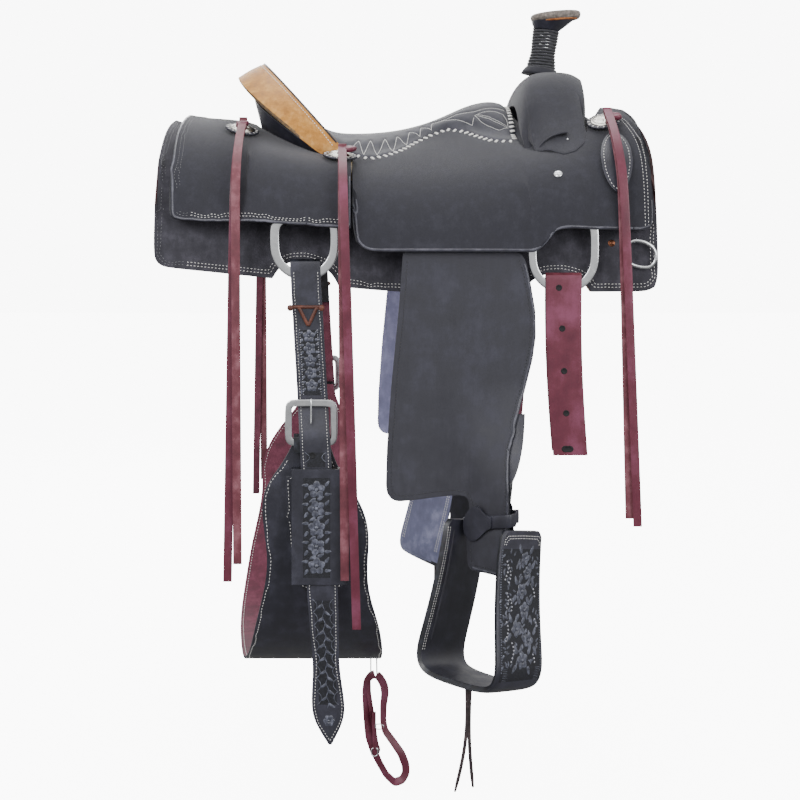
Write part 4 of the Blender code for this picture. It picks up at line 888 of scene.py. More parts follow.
# %% Dress the leather
FLAT_PIECES = {
    "skirt": (ROUGH_SKIRT, ROUGH_SKIRT, SKIRT_EDGE),
    "rear_jockey": (ROUGH_OUT, BLACK_GRAIN, DARK_EDGE),
    "fender": (FENDER_HIDE, VIOLET_FLESH, DARK_EDGE),
    "stirrup_leather": (BLACK_GRAIN, BLACK_GRAIN, DARK_EDGE),
    "hobble_strap": (BLACK_GRAIN, BLACK_GRAIN, DARK_EDGE),
    "stirrup": (BLACK_GRAIN, BLACK_GRAIN, DARK_EDGE),
    "flank_billet": (BLACK_GRAIN, BURGUNDY_FLESH, DARK_EDGE),
    "cinch_keeper": (BLACK_GRAIN, BLACK_GRAIN, DARK_EDGE),
    "rigging": (BLACK_GRAIN, BLACK_GRAIN, DARK_EDGE),
    "rear_string": (BURGUNDY, BURGUNDY_FLESH, CUT_EDGE),
    "seat_string": (BURGUNDY, BURGUNDY_FLESH, CUT_EDGE),
    "front_string": (BURGUNDY, BURGUNDY_FLESH, CUT_EDGE),
}
for word, side in SIDES:
    for kind, finishes in FLAT_PIECES.items():
        dress(f"{kind}_{word}", *finishes, ease_mm=0.7)
dress("seat_and_jockeys", ROUGH_OUT, ROUGH_OUT, DARK_EDGE)
dress("fork_cover", ROUGH_OUT)
dress("cantle_back", BLACK_GRAIN, BLACK_GRAIN, DARK_EDGE)
dress("rope_strap_tab", BLACK_GRAIN, BLACK_GRAIN, DARK_EDGE, ease_mm=0.6)
dress("off_billet", BURGUNDY, BURGUNDY_FLESH, CUT_EDGE, ease_mm=0.6)
dress("latigo", BURGUNDY, BURGUNDY_FLESH, CUT_EDGE, ease_mm=0.6)
dress("flank_cinch", BLACK_GRAIN, BURGUNDY_FLESH, DARK_EDGE, ease_mm=0.7, heart=Vector((-0.12, 0.0, -0.55)))
dress("connector_strap", BURGUNDY, BURGUNDY, CUT_EDGE, ease_mm=0.5)
dress("cantle_roll", ROLL_TAN, ROLL_UNDER, CUT_EDGE, ease_mm=1.0)
dress("horn_cap", BLACK_GRAIN, BLACK_GRAIN, BLACK_GRAIN)
dress("padded_seat", ROUGH_OUT)
dress("horn_wrap", CORD, levels=0, ease_mm=0)
for word, side in SIDES:
    dress(f"fleece_{word}", WOOL)
    for kind in ("front_dee", "rear_dee", "flank_buckle"):
        dress(f"{kind}_{word}", STEEL, ease_mm=1.3, levels=1, segments=3)
    for kind in ("breast_dee", "buckle_tongue"):
        dress(f"{kind}_{word}", STEEL, ease_mm=0.0, levels=2)
HIDDEN_PIECES = {
    "tree_bar_right": RAWHIDE, "tree_bar_left": RAWHIDE, "tree_fork": BLACK_GRAIN, "tree_cantle": RAWHIDE,
    "horn_post": STEEL, "ground_seat_strainer": STEEL,
}
for plain, finish in HIDDEN_PIECES.items():
    NODES[plain].data.materials.clear()
    NODES[plain].data.materials.append(finish)
print(len(SKINS), "pieces dressed")


# %% [markdown]
# ## Fenders that turn with the stirrup
# On a saddle with turned stirrups the fender is one hide: its panel lies along the horse, and its front
# half curls outwards until the neck stands at 45 degrees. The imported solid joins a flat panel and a
# turned neck. The finished hide is cut flat in a fine grid, as from a pattern, and each of its points is
# moved from the flat to the turned plane by a smooth share, so it bends as one sheet. The stirrup
# leather behind it bends by the same rule.

# %% The bend of the leg leather
TURN = math.radians(45.0)
TURN_COS = math.cos(TURN)
# kept apart from the vector, whose values are less exact
BOLT_X, BOLT_Y = 0.116, 0.312
BOLT = Vector((BOLT_X, BOLT_Y, -0.510))
LEG_Y = 0.2835
HALF_HIDE = 0.0020
NECK_X = 0.1075
NECK_LEAN = (
    (0.459, 0.478, 0.490, 0.502, 0.520, 0.548, 0.563), (
        0.0055, 0.0052, 0.0080, 0.0115, 0.0118, 0.0105, 0.0100,
    ),
)


def eased(low, high, value):
    """0 at low, 1 at high and a smooth curve between."""
    share = min(max((value - low) / (high - low), 0.0), 1.0)
    return share * share * (3.0 - 2.0 * share)


def leg_point(x, z, side, behind=0.0):
    """Where a point of the flat pattern lies on the bent leather; behind goes towards the horse."""
    behind -= HALF_HIDE
    share = eased(-0.300, -0.458, z) * eased(0.020, 0.088, x)
    lean = float(np.interp(-z, *NECK_LEAN))
    along = x - NECK_X
    turned = Vector(
        (BOLT_X + (along - lean + behind) * TURN_COS, BOLT_Y + (along + lean - behind) * TURN_COS, z)
    )
    place = Vector((x, LEG_Y - behind, z)).lerp(turned, share)
    return Vector((place.x, side * place.y, place.z))


print("front edge of the neck:", [round(c, 4) for c in leg_point(0.14, -0.48, -1)])

# %% Cut the fender from its pattern
FENDER_PATTERN = [
    (-0.0035, -0.1245), (-0.0088, -0.200), (-0.0195, -0.310), (-0.0255, -0.396), (-0.0268, -0.446),
    (-0.0250, -0.4560), (-0.0190, -0.4640), (-0.0100, -0.4668), (0.0100, -0.4650), (0.0365, -0.4615),
    (0.0600, -0.4585), (0.0690, -0.4580), (0.0733, -0.4620), (0.0752, -0.4700), (0.0752, -0.5450),
    (0.0770, -0.5530), (0.0810, -0.5562), (0.1340, -0.5562), (0.1382, -0.5530), (0.1400, -0.5450),
    (0.1400, -0.4300), (0.1412, -0.4000), (0.1498, -0.3650), (0.1627, -0.3193), (0.1745, -0.2720),
    (0.1790, -0.240), (0.1783, -0.205), (0.1715, -0.165), (0.1655, -0.138), (0.1600, -0.1275),
    (0.1500, -0.1245),
]
HANGER_PATH = [
    (0.2835, -0.134), (0.2835, -0.1245), (0.2792, -0.110), (0.2700, -0.0925), (0.2580, -0.0745),
    (0.2435, -0.0585), (0.2290, -0.0430), (0.2160, -0.0330),
]
HANGER_CORNERS = ((0.048, 0.0018), (0.113, 0.0018), (0.113, -0.0018), (0.048, -0.0018))
CELL = 0.004


def pattern_sheet(pattern, thickness, side, place, cell=CELL, rounds=2):
    """A closed sheet over a flat pattern; place(x, z, side, behind) gives each point its real position."""
    outline = softened(along_line([(x, 0.0, z) for x, z in pattern], 0.6 * cell, closed=True), rounds, True)
    bm = bmesh.new()
    bm.faces.new([bm.verts.new(p) for p in outline])
    for axis in (0, 2):
        normal = Vector([1.0 if k == axis else 0.0 for k in range(3)])
        low, high = min(p[axis] for p in outline), max(p[axis] for p in outline)
        for cut in np.arange(low + cell, high, cell):
            bmesh.ops.bisect_plane(
                bm, geom=bm.verts[:] + bm.edges[:] + bm.faces[:], dist=1e-7,
                plane_co=normal * cut, plane_no=normal,
            )
    front = bm.verts[:]
    made = bmesh.ops.extrude_face_region(bm, geom=bm.faces[:])
    behind = [v for v in made["geom"] if isinstance(v, bmesh.types.BMVert)]
    for v in front:
        v.co = place(v.co.x, v.co.z, side, 0.0)
    for v in behind:
        v.co = place(v.co.x, v.co.z, side, thickness)
    bmesh.ops.recalc_face_normals(bm, faces=bm.faces)
    return bm, [(place(p.x, p.z, side, 0.0), None) for p in outline]


for word, side in SIDES:
    node = f"fender_{word}"
    bpy.data.objects.remove(SKINS[node]["obj"])
    bm, rim = pattern_sheet(FENDER_PATTERN, 4.0 * MM, side, leg_point)
    for f in bm.faces:
        outward = f.normal.y * side
        f.material_index = 0 if outward > 0.3 else (1 if outward < -0.3 else 2)
    panel = eased_edges(new_piece(f"{node}_panel", bm, [FENDER_HIDE, VIOLET_FLESH, DARK_EDGE]), 0.9)
    carry(panel, node)
    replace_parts(panel, node)
    SKINS[node].update(obj=panel, tree=tree_of(panel), rims=[rim])
    bm = bmesh.new()
    join_rings(
        bm, [[bm.verts.new((x, side * (y + d), z)) for x, d in HANGER_CORNERS] for y, z in HANGER_PATH],
    )
    bmesh.ops.recalc_face_normals(bm, faces=bm.faces)
    carry(eased_edges(new_piece(f"{node}_hanger", bm, [FENDER_HIDE]), 0.6), node)
print("fenders cut:", len(SKINS["fender_right"]["obj"].data.polygons), "faces each")

# %% Bend the stirrup leathers behind them
LEATHER_MIDDLE = (
    (0.345, 0.385, 0.415, 0.430, 0.463, 0.700), (0.1320, 0.1300, 0.1210, 0.1120, 0.1075, 0.1075),
)
LEATHER_LOW = -0.4655
LEATHER_Y, LEATHER_BEHIND = 0.2800, 0.0055
LEATHER_SHARE = ((0.430, 0.463), (0.0, 1.0))
for word, side in SIDES:
    skin = SKINS[f"stirrup_leather_{word}"]
    for v in skin["obj"].data.vertices:
        x, y, z = v.co.x, v.co.y * side, v.co.z
        if z < LEATHER_LOW:
            continue
        share = float(np.interp(-z, *LEATHER_SHARE))
        angle = TURN * share
        middle_x = float(np.interp(-z, *LEATHER_MIDDLE))
        bolt = Vector((BOLT_X + 0.0030 * TURN_COS, BOLT_Y - 0.0030 * TURN_COS, z))
        middle = Vector((0.1120 if share > 0 else middle_x, LEATHER_Y, z)).lerp(bolt, share)
        gap = Vector((x, y, z)) - middle
        wide = gap.x * math.cos(angle) + gap.y * math.sin(angle)
        deep = gap.x * math.sin(angle) - gap.y * math.cos(angle)
        bent = leg_point(middle_x + wide, z, 1, LEATHER_BEHIND + deep)
        bent = Vector((x, y, z)).lerp(bent, eased(LEATHER_LOW, -0.4560, z))
        v.co = (bent.x, side * bent.y, bent.z)
    skin["tree"] = tree_of(skin["obj"])
print("leathers bent")


# %% Rows of white thread
REAR_EDGE_X = -0.305


def low_skirt(p):
    """True below the jockeys and at the front corner."""
    return p.z < -0.055 or p.x > 0.29


for word, side in SIDES:
    stitch_edges(
        f"skirt_{word}", (6.5, 11.0), THREAD, keep=lambda p: low_skirt(p) and (
            p.x > REAR_EDGE_X or p.z < -0.15
        ),
        pitch_mm=4.9, length_mm=2.9,
    )
    # Along the rear edge the white thread is painted grey, as painted shade.
    stitch_edges(
        f"skirt_{word}", (6.5, 11.0), THREAD_PAINTED_SHADE, keep=lambda p: p.x < REAR_EDGE_X and p.z > -0.15,
        name=f"skirt_{word}_rear_stitching", pitch_mm=4.9, length_mm=2.9, radius_mm=0.45,
    )
    stitch_edges(
        f"rear_jockey_{word}", (8.5, 13.0), THREAD, keep=lambda p: p.z < -0.03 and (
            p.x > -0.298 or p.z < -0.115
        ),
        pitch_mm=4.9, length_mm=2.8, radius_mm=0.5,
    )
    # Along the rear edge the white thread is painted grey, as painted shade.
    stitch_edges(
        f"rear_jockey_{word}", (8.5, 13.0), THREAD_PAINTED_SHADE, keep=lambda p: p.x < -0.298 and p.z > -0.115,
        name=f"rear_jockey_{word}_rear_stitching", pitch_mm=4.9, length_mm=2.8, radius_mm=0.42,
    )
    stitch_edges(
        f"flank_billet_{word}", (4.6,), THREAD, keep=lambda p: p.z < -0.150, pitch_mm=4.2,
        length_mm=2.6, radius_mm=0.5,
    )
    stitch_edges(f"fender_{word}", (7.5,), THREAD_DARK, keep=lambda p: p.z < -0.135, pitch_mm=4.6)
stitch_edges("rope_strap_tab", (4.6,), THREAD, pitch_mm=5.4, length_mm=3.3, radius_mm=0.6)
stitch_edges(
    "flank_cinch", (5.0,), THREAD, keep=lambda p: p.z < -0.41, pitch_mm=5.2, length_mm=3.4,
    radius_mm=0.6,
)


# %% [markdown]
# ## The quilted seat
# The seat is a foam pad under soft leather, let into the jockeys. Its border is laced down with wide
# white buckstitch, and finer white thread sews a saw-tooth quilting along the sides and a leaf at the
# front. The cover here is one crowned sheet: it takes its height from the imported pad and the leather
# round it, swells between the sewn lines and sinks along them.

# %% Shape of the quilted cover
# x and half-width of the inlay, in metres, from the cantle to the fork
INLAY = (
    (-0.0863, 0.1480), (-0.0690, 0.1600), (-0.0470, 0.1650), (-0.0240, 0.1530), (-0.0030, 0.1340),
    (0.0240, 0.0960), (0.0470, 0.0770), (0.0715, 0.0660), (0.0960, 0.0800), (0.1150, 0.1050),
    (0.1350, 0.1320), (0.1585, 0.1420), (0.1660, 0.1420),
)
DISH_DEPTH = 0.1035
DISH_FRONT = INLAY[0][0]
SAW_TOOTH = (
    (-0.0742, 0.1500), (-0.0630, 0.1170), (-0.0563, 0.1570), (-0.0451, 0.1090), (-0.0362, 0.1540),
    (-0.0234, 0.0970), (-0.0124, 0.1370), (-0.0047, 0.0860), (0.0087, 0.1100), (0.0148, 0.0690),
    (0.0300, 0.0830), (0.0330, 0.0560), (0.0480, 0.0700), (0.0500, 0.0480),
)
SWEEPS = (
    (
        (0.0500, 0.0480), (0.0690, 0.0490), (0.0870, 0.0590), (0.1017, 0.0710), (0.1100, 0.0786),
        (0.1130, 0.0690),
    ),
    ((0.0640, 0.0480), (0.0883, 0.0430), (0.1152, 0.0560), (0.1307, 0.0560), (0.1600, 0.0600)),
)
LEAF = (
    (0.1147, 0.0653), (0.1273, 0.0638), (0.1441, 0.0673), (0.1565, 0.0736), (0.1615, 0.0860),
    (0.1620, 0.1010), (0.1483, 0.1030), (0.1338, 0.0930), (0.1223, 0.0800), (0.1147, 0.0653),
)
VEINS = (
    ((0.1176, 0.0670), (0.1292, 0.0770), (0.1433, 0.0890), (0.1600, 0.1010)),
    ((0.1190, 0.0655), (0.1310, 0.0748), (0.1455, 0.0870), (0.1600, 0.0985)),
)
QUILT_LINES = (SAW_TOOTH,) + SWEEPS + (LEAF,) + VEINS
COVER_MM = 1.1
PUFF_MM = 1.5
CREASE_MM = 3.2
SEAT_ROWS, SEAT_LANES = 176, 121
CROWN_ROUNDS = 26
EDGE_FALL = 0.006


def inlay_width(x):
    """Half the width of the padded part at x."""
    if x >= DISH_FRONT:
        return float(np.interp(x, [a for a, _ in INLAY], [b for _, b in INLAY]))
    return INLAY[0][1] * math.sqrt(max(0.004, 1 - ((DISH_FRONT - x) / DISH_DEPTH) ** 2))


def distance_to_lines(x, y, lines):
    """Least distance of each (x, y) to the lines, in the plan."""
    least = np.full(x.shape, 1.0)
    for line in lines:
        for (xa, ya), (xb, yb) in zip(line[:-1], line[1:]):
            dx, dy = xb - xa, yb - ya
            share = np.clip(((x - xa) * dx + (y - ya) * dy) / max(dx * dx + dy * dy, 1e-12), 0, 1)
            least = np.minimum(least, np.hypot(x - xa - share * dx, y - ya - share * dy))
    return least


def quilted_seat():
    """The closed, quilted cover over the pad."""
    stations = np.linspace(DISH_FRONT - DISH_DEPTH * 0.985, INLAY[-1][0], SEAT_ROWS)
    shares = np.linspace(-1.0, 1.0, SEAT_LANES)
    x = np.repeat(stations[:, None], len(shares), axis=1)
    width = np.array([inlay_width(s) for s in stations])
    y = width[:, None] * shares[None, :]
    down = Vector((0, 0, -1))
    ground = np.zeros(x.shape)
    for i in range(x.shape[0]):
        for j in range(x.shape[1]):
            start = Vector((x[i, j], y[i, j], 0.3))
            hits = [
                SKINS[n]["tree"].ray_cast(start, down, 0.5)[0]
                for n in ("padded_seat", "seat_and_jockeys")
            ]
            ground[i, j] = max([h.z for h in hits if h is not None] or [ground[i, j - 1]])
    level = ground.copy()
    for _ in range(CROWN_ROUNDS):
        inner = (level[:-2, 1:-1] + level[2:, 1:-1] + level[1:-1, :-2] + level[1:-1, 2:]) / 4
        level[1:-1, 1:-1] = inner
        level = np.maximum(level, ground)
    seam = distance_to_lines(x, np.abs(y), QUILT_LINES)
    edge = np.minimum((1 - np.abs(shares))[None, :] * width[:, None], np.abs(stations[-1] - x))
    puff = PUFF_MM * MM * (1 - np.exp(-((seam / (CREASE_MM * MM)) ** 2)))
    rise = (COVER_MM * MM + puff) * np.clip(edge / EDGE_FALL, 0, 1) ** 0.5 - 0.0004
    top = level + rise
    bm = bmesh.new()
    upper = [
        [bm.verts.new((x[i, j], y[i, j], top[i, j])) for j in range(x.shape[1])]
        for i in range(x.shape[0])
    ]
    lower = [
        [
            bm.verts.new((x[i, j], y[i, j], min(ground[i, j] - 0.0008, top[i, j] - 0.0006)))
            for j in range(x.shape[1])
        ]
        for i in range(x.shape[0])
    ]
    join_rows(bm, upper)
    join_rows(bm, lower)
    borders = (
        (upper[0], lower[0]), (upper[-1], lower[-1]),
        ([r[0] for r in upper], [r[0] for r in lower]), ([r[-1] for r in upper], [r[-1] for r in lower]),
    )
    for border in borders:
        join_rows(bm, border)
    bmesh.ops.recalc_face_normals(bm, faces=bm.faces)
    return new_piece("quilted_seat", bm, [SEAT_HIDE])


SEAT_HIDE = leather(
    "soft_seat_leather", "#202027", "#2c2c35", "#3a3a45", 28.0, 0.8, 0.22, 0.62, 0.08, 0.4,
    Sheen_Weight=0.15, Specular_IOR_Level=0.4,
)
packed_pad = SKINS["padded_seat"]["obj"]
seat_cover = quilted_seat()
bpy.data.objects.remove(packed_pad)
carry(seat_cover, "padded_seat")
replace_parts(seat_cover, "padded_seat")
SKINS["padded_seat"].update(obj=seat_cover, tree=tree_of(seat_cover))
print("quilted seat faces", len(seat_cover.data.polygons))

# %% White thread and buckstitch on the seat
quilt_rows = []
for word, side in SIDES:
    for line in QUILT_LINES:
        quilt_rows.append([(px, side * py, 0.10) for px, py in line])
sew_lines(
    "seat_quilting_thread", "padded_seat", quilt_rows, THREAD, pitch_mm=2.5, length_mm=2.3,
    radius_mm=0.5,
)
INLAY_LACE = [(px, py + 0.0035, 0.10) for px, py in INLAY if px >= -0.0690]
lace = bmesh.new()
jockeys = tree_of(SKINS["seat_and_jockeys"]["obj"])
for word, side in SIDES:
    line = [Vector((px, side * py, pz)) for px, py, pz in INLAY_LACE]
    row = dropped(jockeys, along_line(line, 2.0 * MM), (0, 0, -1))
    sew(lace, row, pitch_mm=10.6, length_mm=9.6, radius_mm=2.8, tilt=math.pi / 2, flat=0.5)
front = [(0.1672, y, 0.14) for y in np.linspace(-0.138, 0.138, 90)]
row = dropped(jockeys, front, (0, 0, -1))
sew(lace, row, pitch_mm=10.2, length_mm=9.6, radius_mm=2.7, tilt=math.pi / 2, flat=0.5)
laid("seat_buckstitch", lace, LACE_WHITE, "padded_seat")

# %% [markdown]
# ## Cantle roll, fork and horn
# The roll is golden skirting leather, sewn 7 mm in from its seat side over a thin black seat edge. Its
# back and its rear faces that turn down or sideways are a darker, greyer brown. The fork's two hides meet
# in a seam on its rear side. The horn's neck is wound with cord, to which the rope holds, and a rope has
# worn the cap's rim to bare leather.

# %% Cantle roll stitching and its black edge
ROLL_ANGLES = [math.radians(a) for a in np.linspace(-86, 86, 140)]
CANTLE_DEEP, CANTLE_HALF = 0.1237, 0.155


def roll_spot(angle, inset_mm):
    """A point above the roll, this far behind its seat-side edge."""
    c, s = math.cos(angle), math.sin(angle)
    back = Vector((-0.037 * c - 0.033 * abs(s), math.copysign(0.022, s) * abs(s), 0.0)).normalized()
    front = Vector((DISH_FRONT - CANTLE_DEEP * c, CANTLE_HALF * s + 0.002 * s, 0.25))
    return front + back * inset_mm * MM


def roll_row(inset_mm):
    """A row on the roll, this far behind its seat-side edge."""
    return dropped(
        SKINS["cantle_roll"]["tree"], [roll_spot(a, inset_mm) for a in ROLL_ANGLES], (0, 0, -1), 0.0,
        0.3,
    )


def strip(bm, row, half_mm, rise_mm):
    """A thin rounded band along a row of (point, normal)."""
    rings = []
    for i, (p, n) in enumerate(row):
        way = (row[min(i + 1, len(row) - 1)][0] - row[max(i - 1, 0)][0]).normalized()
        side_way = n.cross(way).normalized()
        rings.append(
            [bm.verts.new(p + side_way * half_mm * MM * a + n * rise_mm * MM * b) for a, b in BAND]
        )
    join_rows(bm, rings)


BAND = ((-1.0, -0.6), (-0.8, 0.6), (0.0, 1.0), (0.8, 0.6), (1.0, -0.6))
bm = bmesh.new()
count = sew(bm, roll_row(7.0), pitch_mm=4.6, length_mm=3.2, radius_mm=0.75)
laid("cantle_roll_stitching", bm, THREAD, "cantle_roll")
bm = bmesh.new()
strip(bm, roll_row(0.8), 1.6, 1.0)
laid("cantle_roll_black_edge", bm, DARK_EDGE, "cantle_roll")
# Faces at the roll's rear that turn down or sideways take the darker tan.
skin = SKINS["cantle_roll"]["obj"].data
skin.materials.append(ROLL_UNDER)
turned = 0
for f in skin.polygons:
    if f.normal.z < 0.12 and f.center.x < -0.15:
        f.material_index = len(skin.materials) - 1
        turned += 1
print("cantle roll:", count, "stitches,", turned, "faces of its darker underside")


# %% Turned shapes
def axes_of(axis):
    """Two directions square to an axis and to each other."""
    axis = Vector(axis).normalized()
    first = axis.cross(Vector((0.0, 0.0, 1.0)) if abs(axis.z) < 0.9 else Vector((1.0, 0.0, 0.0))).normalized()
    return first, axis.cross(first).normalized(), axis


def lathe(bm, centre, axis, profile, steps, shape=None):
    """Turns (radius, height) round an axis; shape(turn, radius, height) may move each point."""
    first, second, axis = axes_of(axis)
    rings = []
    for radius, height in profile:
        ring = []
        for k in range(steps):
            turn = 2 * math.pi * k / steps
            r, h = shape(turn, radius, height) if shape else (radius, height)
            ring.append(
                bm.verts.new(centre + (first * math.cos(turn) + second * math.sin(turn)) * r + axis * h)
            )
        rings.append(ring)
    join_rings(bm, rings)


# %% Gullet apron: the leather that closes the gap between the seat and the fork
APRON_ROUNDS = 700
APRON_DROP = 0.0052


def apron():
    """A thin sheet under the seat leather, stretched like a membrane over the open gap."""
    xs = np.linspace(0.150, 0.236, 44)
    ys = np.linspace(-0.200, 0.200, 81)
    tree = tree_of(SKINS["seat_and_jockeys"]["obj"])
    height = np.full((len(xs), len(ys)), 0.05)
    known = np.zeros(height.shape, bool)
    for i, x in enumerate(xs):
        for j, y in enumerate(ys):
            hit = tree.ray_cast(Vector((x, y, 0.3)), Vector((0, 0, -1)), 0.5)[0]
            if hit is not None:
                height[i, j], known[i, j] = hit.z - APRON_DROP, True
    for _ in range(APRON_ROUNDS):
        wide = np.pad(height, 1, mode="edge")
        mean = (wide[:-2, 1:-1] + wide[2:, 1:-1] + wide[1:-1, :-2] + wide[1:-1, 2:]) / 4
        height = np.where(known, height, mean)
    bm = bmesh.new()
    join_rows(bm, [[bm.verts.new((x, y, height[i, j])) for j, y in enumerate(ys)] for i, x in enumerate(xs)])
    carry(thicken(new_piece("gullet_apron", bm, [ROUGH_OUT]), 2.0), "seat_and_jockeys")


apron()
print("the gap between seat and fork is closed")

# %% Horn: cord, collar and worn cap
HORN_FOOT = Vector((0.2245, 0.0, 0.1538))
HORN_AXIS = Vector((math.sin(math.radians(8.0)), 0.0, math.cos(math.radians(8.0))))
HORN_SIDE = Vector((HORN_AXIS[2], 0.0, -HORN_AXIS[0]))
HORN_ACROSS = Vector((0.0, 1.0, 0.0))
NECK = ((0.0, 0.0185), (0.008, 0.0175), (0.018, 0.0155), (0.032, 0.0150), (0.045, 0.0160), (0.0604, 0.0165))
WRAP_TURNS, WRAP_PITCH, CORD_RADIUS = 13, 0.00468, 0.0022
CORD_STEPS, CORD_SIDES = 56, 12


def neck_radius(height):
    """Radius of the horn's neck at a height."""
    return float(np.interp(height, [h for h, _ in NECK], [r for _, r in NECK]))


def wrap_point(turn):
    """A point of the wound cord's middle line."""
    height = 0.0015 + WRAP_PITCH * turn
    radius = max(neck_radius(height + d) for d in (-0.002, 0.0, 0.002)) + 0.0025
    angle = 2 * math.pi * turn + math.pi
    spoke = HORN_SIDE * radius * math.cos(angle) + HORN_ACROSS * radius * math.sin(angle)
    return HORN_FOOT + HORN_AXIS * height + spoke


def twisted_cord(bm, points, radius, sides, lay, strands=3):
    """A cord of twisted strands along a line; lay is turns of the strands per step."""
    rings = []
    up = Vector((0.0, 0.0, 1.0))
    for i, p in enumerate(points):
        way = (points[min(i + 1, len(points) - 1)] - points[max(i - 1, 0)]).normalized()
        a = way.cross(up).normalized()
        b = way.cross(a).normalized()
        ring = []
        for k in range(sides):
            turn = 2 * math.pi * k / sides
            r = radius * (0.90 + 0.10 * abs(math.cos(strands * (turn - lay * i) / 2)) * 2 - 0.10)
            ring.append(bm.verts.new(p + a * r * math.cos(turn) + b * r * math.sin(turn)))
        rings.append(ring)
    join_rings(bm, rings)


bm = bmesh.new()
turns = [wrap_point(i / CORD_STEPS) for i in range(WRAP_TURNS * CORD_STEPS + 1)]
twisted_cord(bm, turns, CORD_RADIUS, CORD_SIDES, 2 * math.pi / 22)
bpy.data.objects.remove(SKINS["horn_wrap"]["obj"])
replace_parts(laid("horn_cord", bm, CORD, "horn_wrap"), "horn_wrap")

COLLAR = (
    (0.0300, -0.0100), (0.0285, -0.0060), (0.0265, -0.0030), (0.0245, 0.0), (0.0225, 0.0015),
    (0.0195, 0.0010),
)
bm = bmesh.new()
lathe(bm, HORN_FOOT, HORN_AXIS, COLLAR, 48)
laid("fork_collar", bm, ROUGH_OUT, "fork_cover")

CAP_CENTRE = Vector((0.2479, 0.0, 0.2378))
CAP_TILT = math.radians(4.6)
CAP_AXIS = Vector((-math.sin(CAP_TILT), 0.0, math.cos(CAP_TILT)))
CAP_ACROSS = Vector((math.cos(CAP_TILT), 0.0, math.sin(CAP_TILT)))
RIM = (
    (0.0340, -0.0078), (0.0362, -0.0070), (0.0379, -0.0052), (0.0389, -0.0026), (0.0392, 0.0004),
    (0.0384, 0.0030), (0.0364, 0.0043), (0.0330, 0.0046),
)
WORN_RIM = leather("rope_worn_horn_rim", "#3a3331", "#7d756f", "#b3a79c", 5.0, 0.8, 0.4, 0.6, 0.12, 0.4)
BURNT_BAND = leather("rope_burnt_tan_hide", "#5a2f17", "#a96232", "#dd9a5c", 7.0, 0.8, 0.3, 0.55, 0.12, 0.3)
RIM_STEPS = 72
first, second, axis = axes_of(CAP_AXIS)


def round_cap(turn, radius, height):
    """A point of the cap at a turn round its axis."""
    return CAP_CENTRE + (first * math.cos(turn) + second * math.sin(turn)) * radius + axis * height


bm = bmesh.new()
rings = []
for radius, height in RIM:
    ring = []
    for k in range(RIM_STEPS):
        wear = 0.0003 * noise.noise(Vector((k * 0.4, height * 900, 0)))
        ring.append(bm.verts.new(round_cap(2 * math.pi * k / RIM_STEPS, radius + wear, height)))
    rings.append(ring)
join_rings(bm, rings, ends=False)
laid("horn_cap_rim", bm, WORN_RIM, "horn_cap")
bm = bmesh.new()
BURNT_ARC = np.linspace(math.radians(200), math.radians(340), 40)
BURNT_SHAPE = ((0.0300, -0.0090), (0.0330, -0.0088), (0.0349, -0.0076), (0.0352, -0.0062), (0.0330, -0.0058))
grid = []
for radius, height in BURNT_SHAPE:
    row = []
    for k, a in enumerate(BURNT_ARC):
        lift = axis * (height - 0.0012 * math.sin(math.pi * k / 39))
        row.append(
            bm.verts.new(CAP_CENTRE + (HORN_ACROSS * math.sin(a) + CAP_ACROSS * math.cos(a)) * radius + lift)
        )
    grid.append(row)
join_rows(bm, grid + grid[:1])
for end in (0, -1):
    bm.faces.new([row[end] for row in grid])
bmesh.ops.recalc_face_normals(bm, faces=bm.faces)
laid("horn_cap_burnt_band", bm, BURNT_BAND, "horn_cap")
bm = bmesh.new()
circle = [(round_cap(a, 0.0318, 0.0043), axis) for a in np.linspace(0, 2 * math.pi, 90)]
sew(bm, circle, pitch_mm=3.4, length_mm=2.5, radius_mm=0.45)
laid("horn_cap_stitching", bm, THREAD_DARK, "horn_cap")
print("horn finished")

# %% [markdown]
# ## Conchos, screws and rivets
# A concho is a domed silver button, stamped and bright cut, on a scalloped leather rosette whose rim is
# laced with white. The string comes out through the concho's slots and is pulled into a knot. Screws
# hold the jockeys to the tree, and copper rivets hold the dees' straps.

# %% Conchos on laced rosettes
def place_of(node):
    """Centre of the foot and outward axis of a turned piece."""
    spots = np.array([v.co[:] for v in NODES[node].data.vertices])
    middle = spots.mean(axis=0)
    _, _, ways = np.linalg.svd(spots - middle)
    axis = Vector(ways[2])
    side = 1 if middle[1] > 0 else -1
    if axis.dot(Vector((0.0, side * 0.5, 1.0))) < 0:
        axis = -axis
    heights = (spots - middle) @ np.array(axis[:])
    foot = spots[heights < heights.min() + 0.0005]
    centre = Vector(foot.mean(axis=0))
    return centre, axis


def scallop(turn, r, h):
    """Eighteen scallops round the rosette's rim."""
    return r - (0.0012 * (1 - abs(math.cos(9 * turn))) if r > 0.020 else 0.0), h


def cut_dome(turn, r, h):
    """Bright cutting on the dome: long flutes, a ring of small fans and a roped edge."""
    if 0.004 < r < 0.0135:
        h += 0.00042 * math.cos(12 * turn) * math.sin(math.pi * (r - 0.004) / 0.0095)
    if 0.0135 <= r < 0.0166:
        h += 0.00026 * math.cos(24 * turn + 9.0 * r / 0.001)
    if r >= 0.0166:
        h += 0.00024 * math.cos(48 * turn)
    return r, h


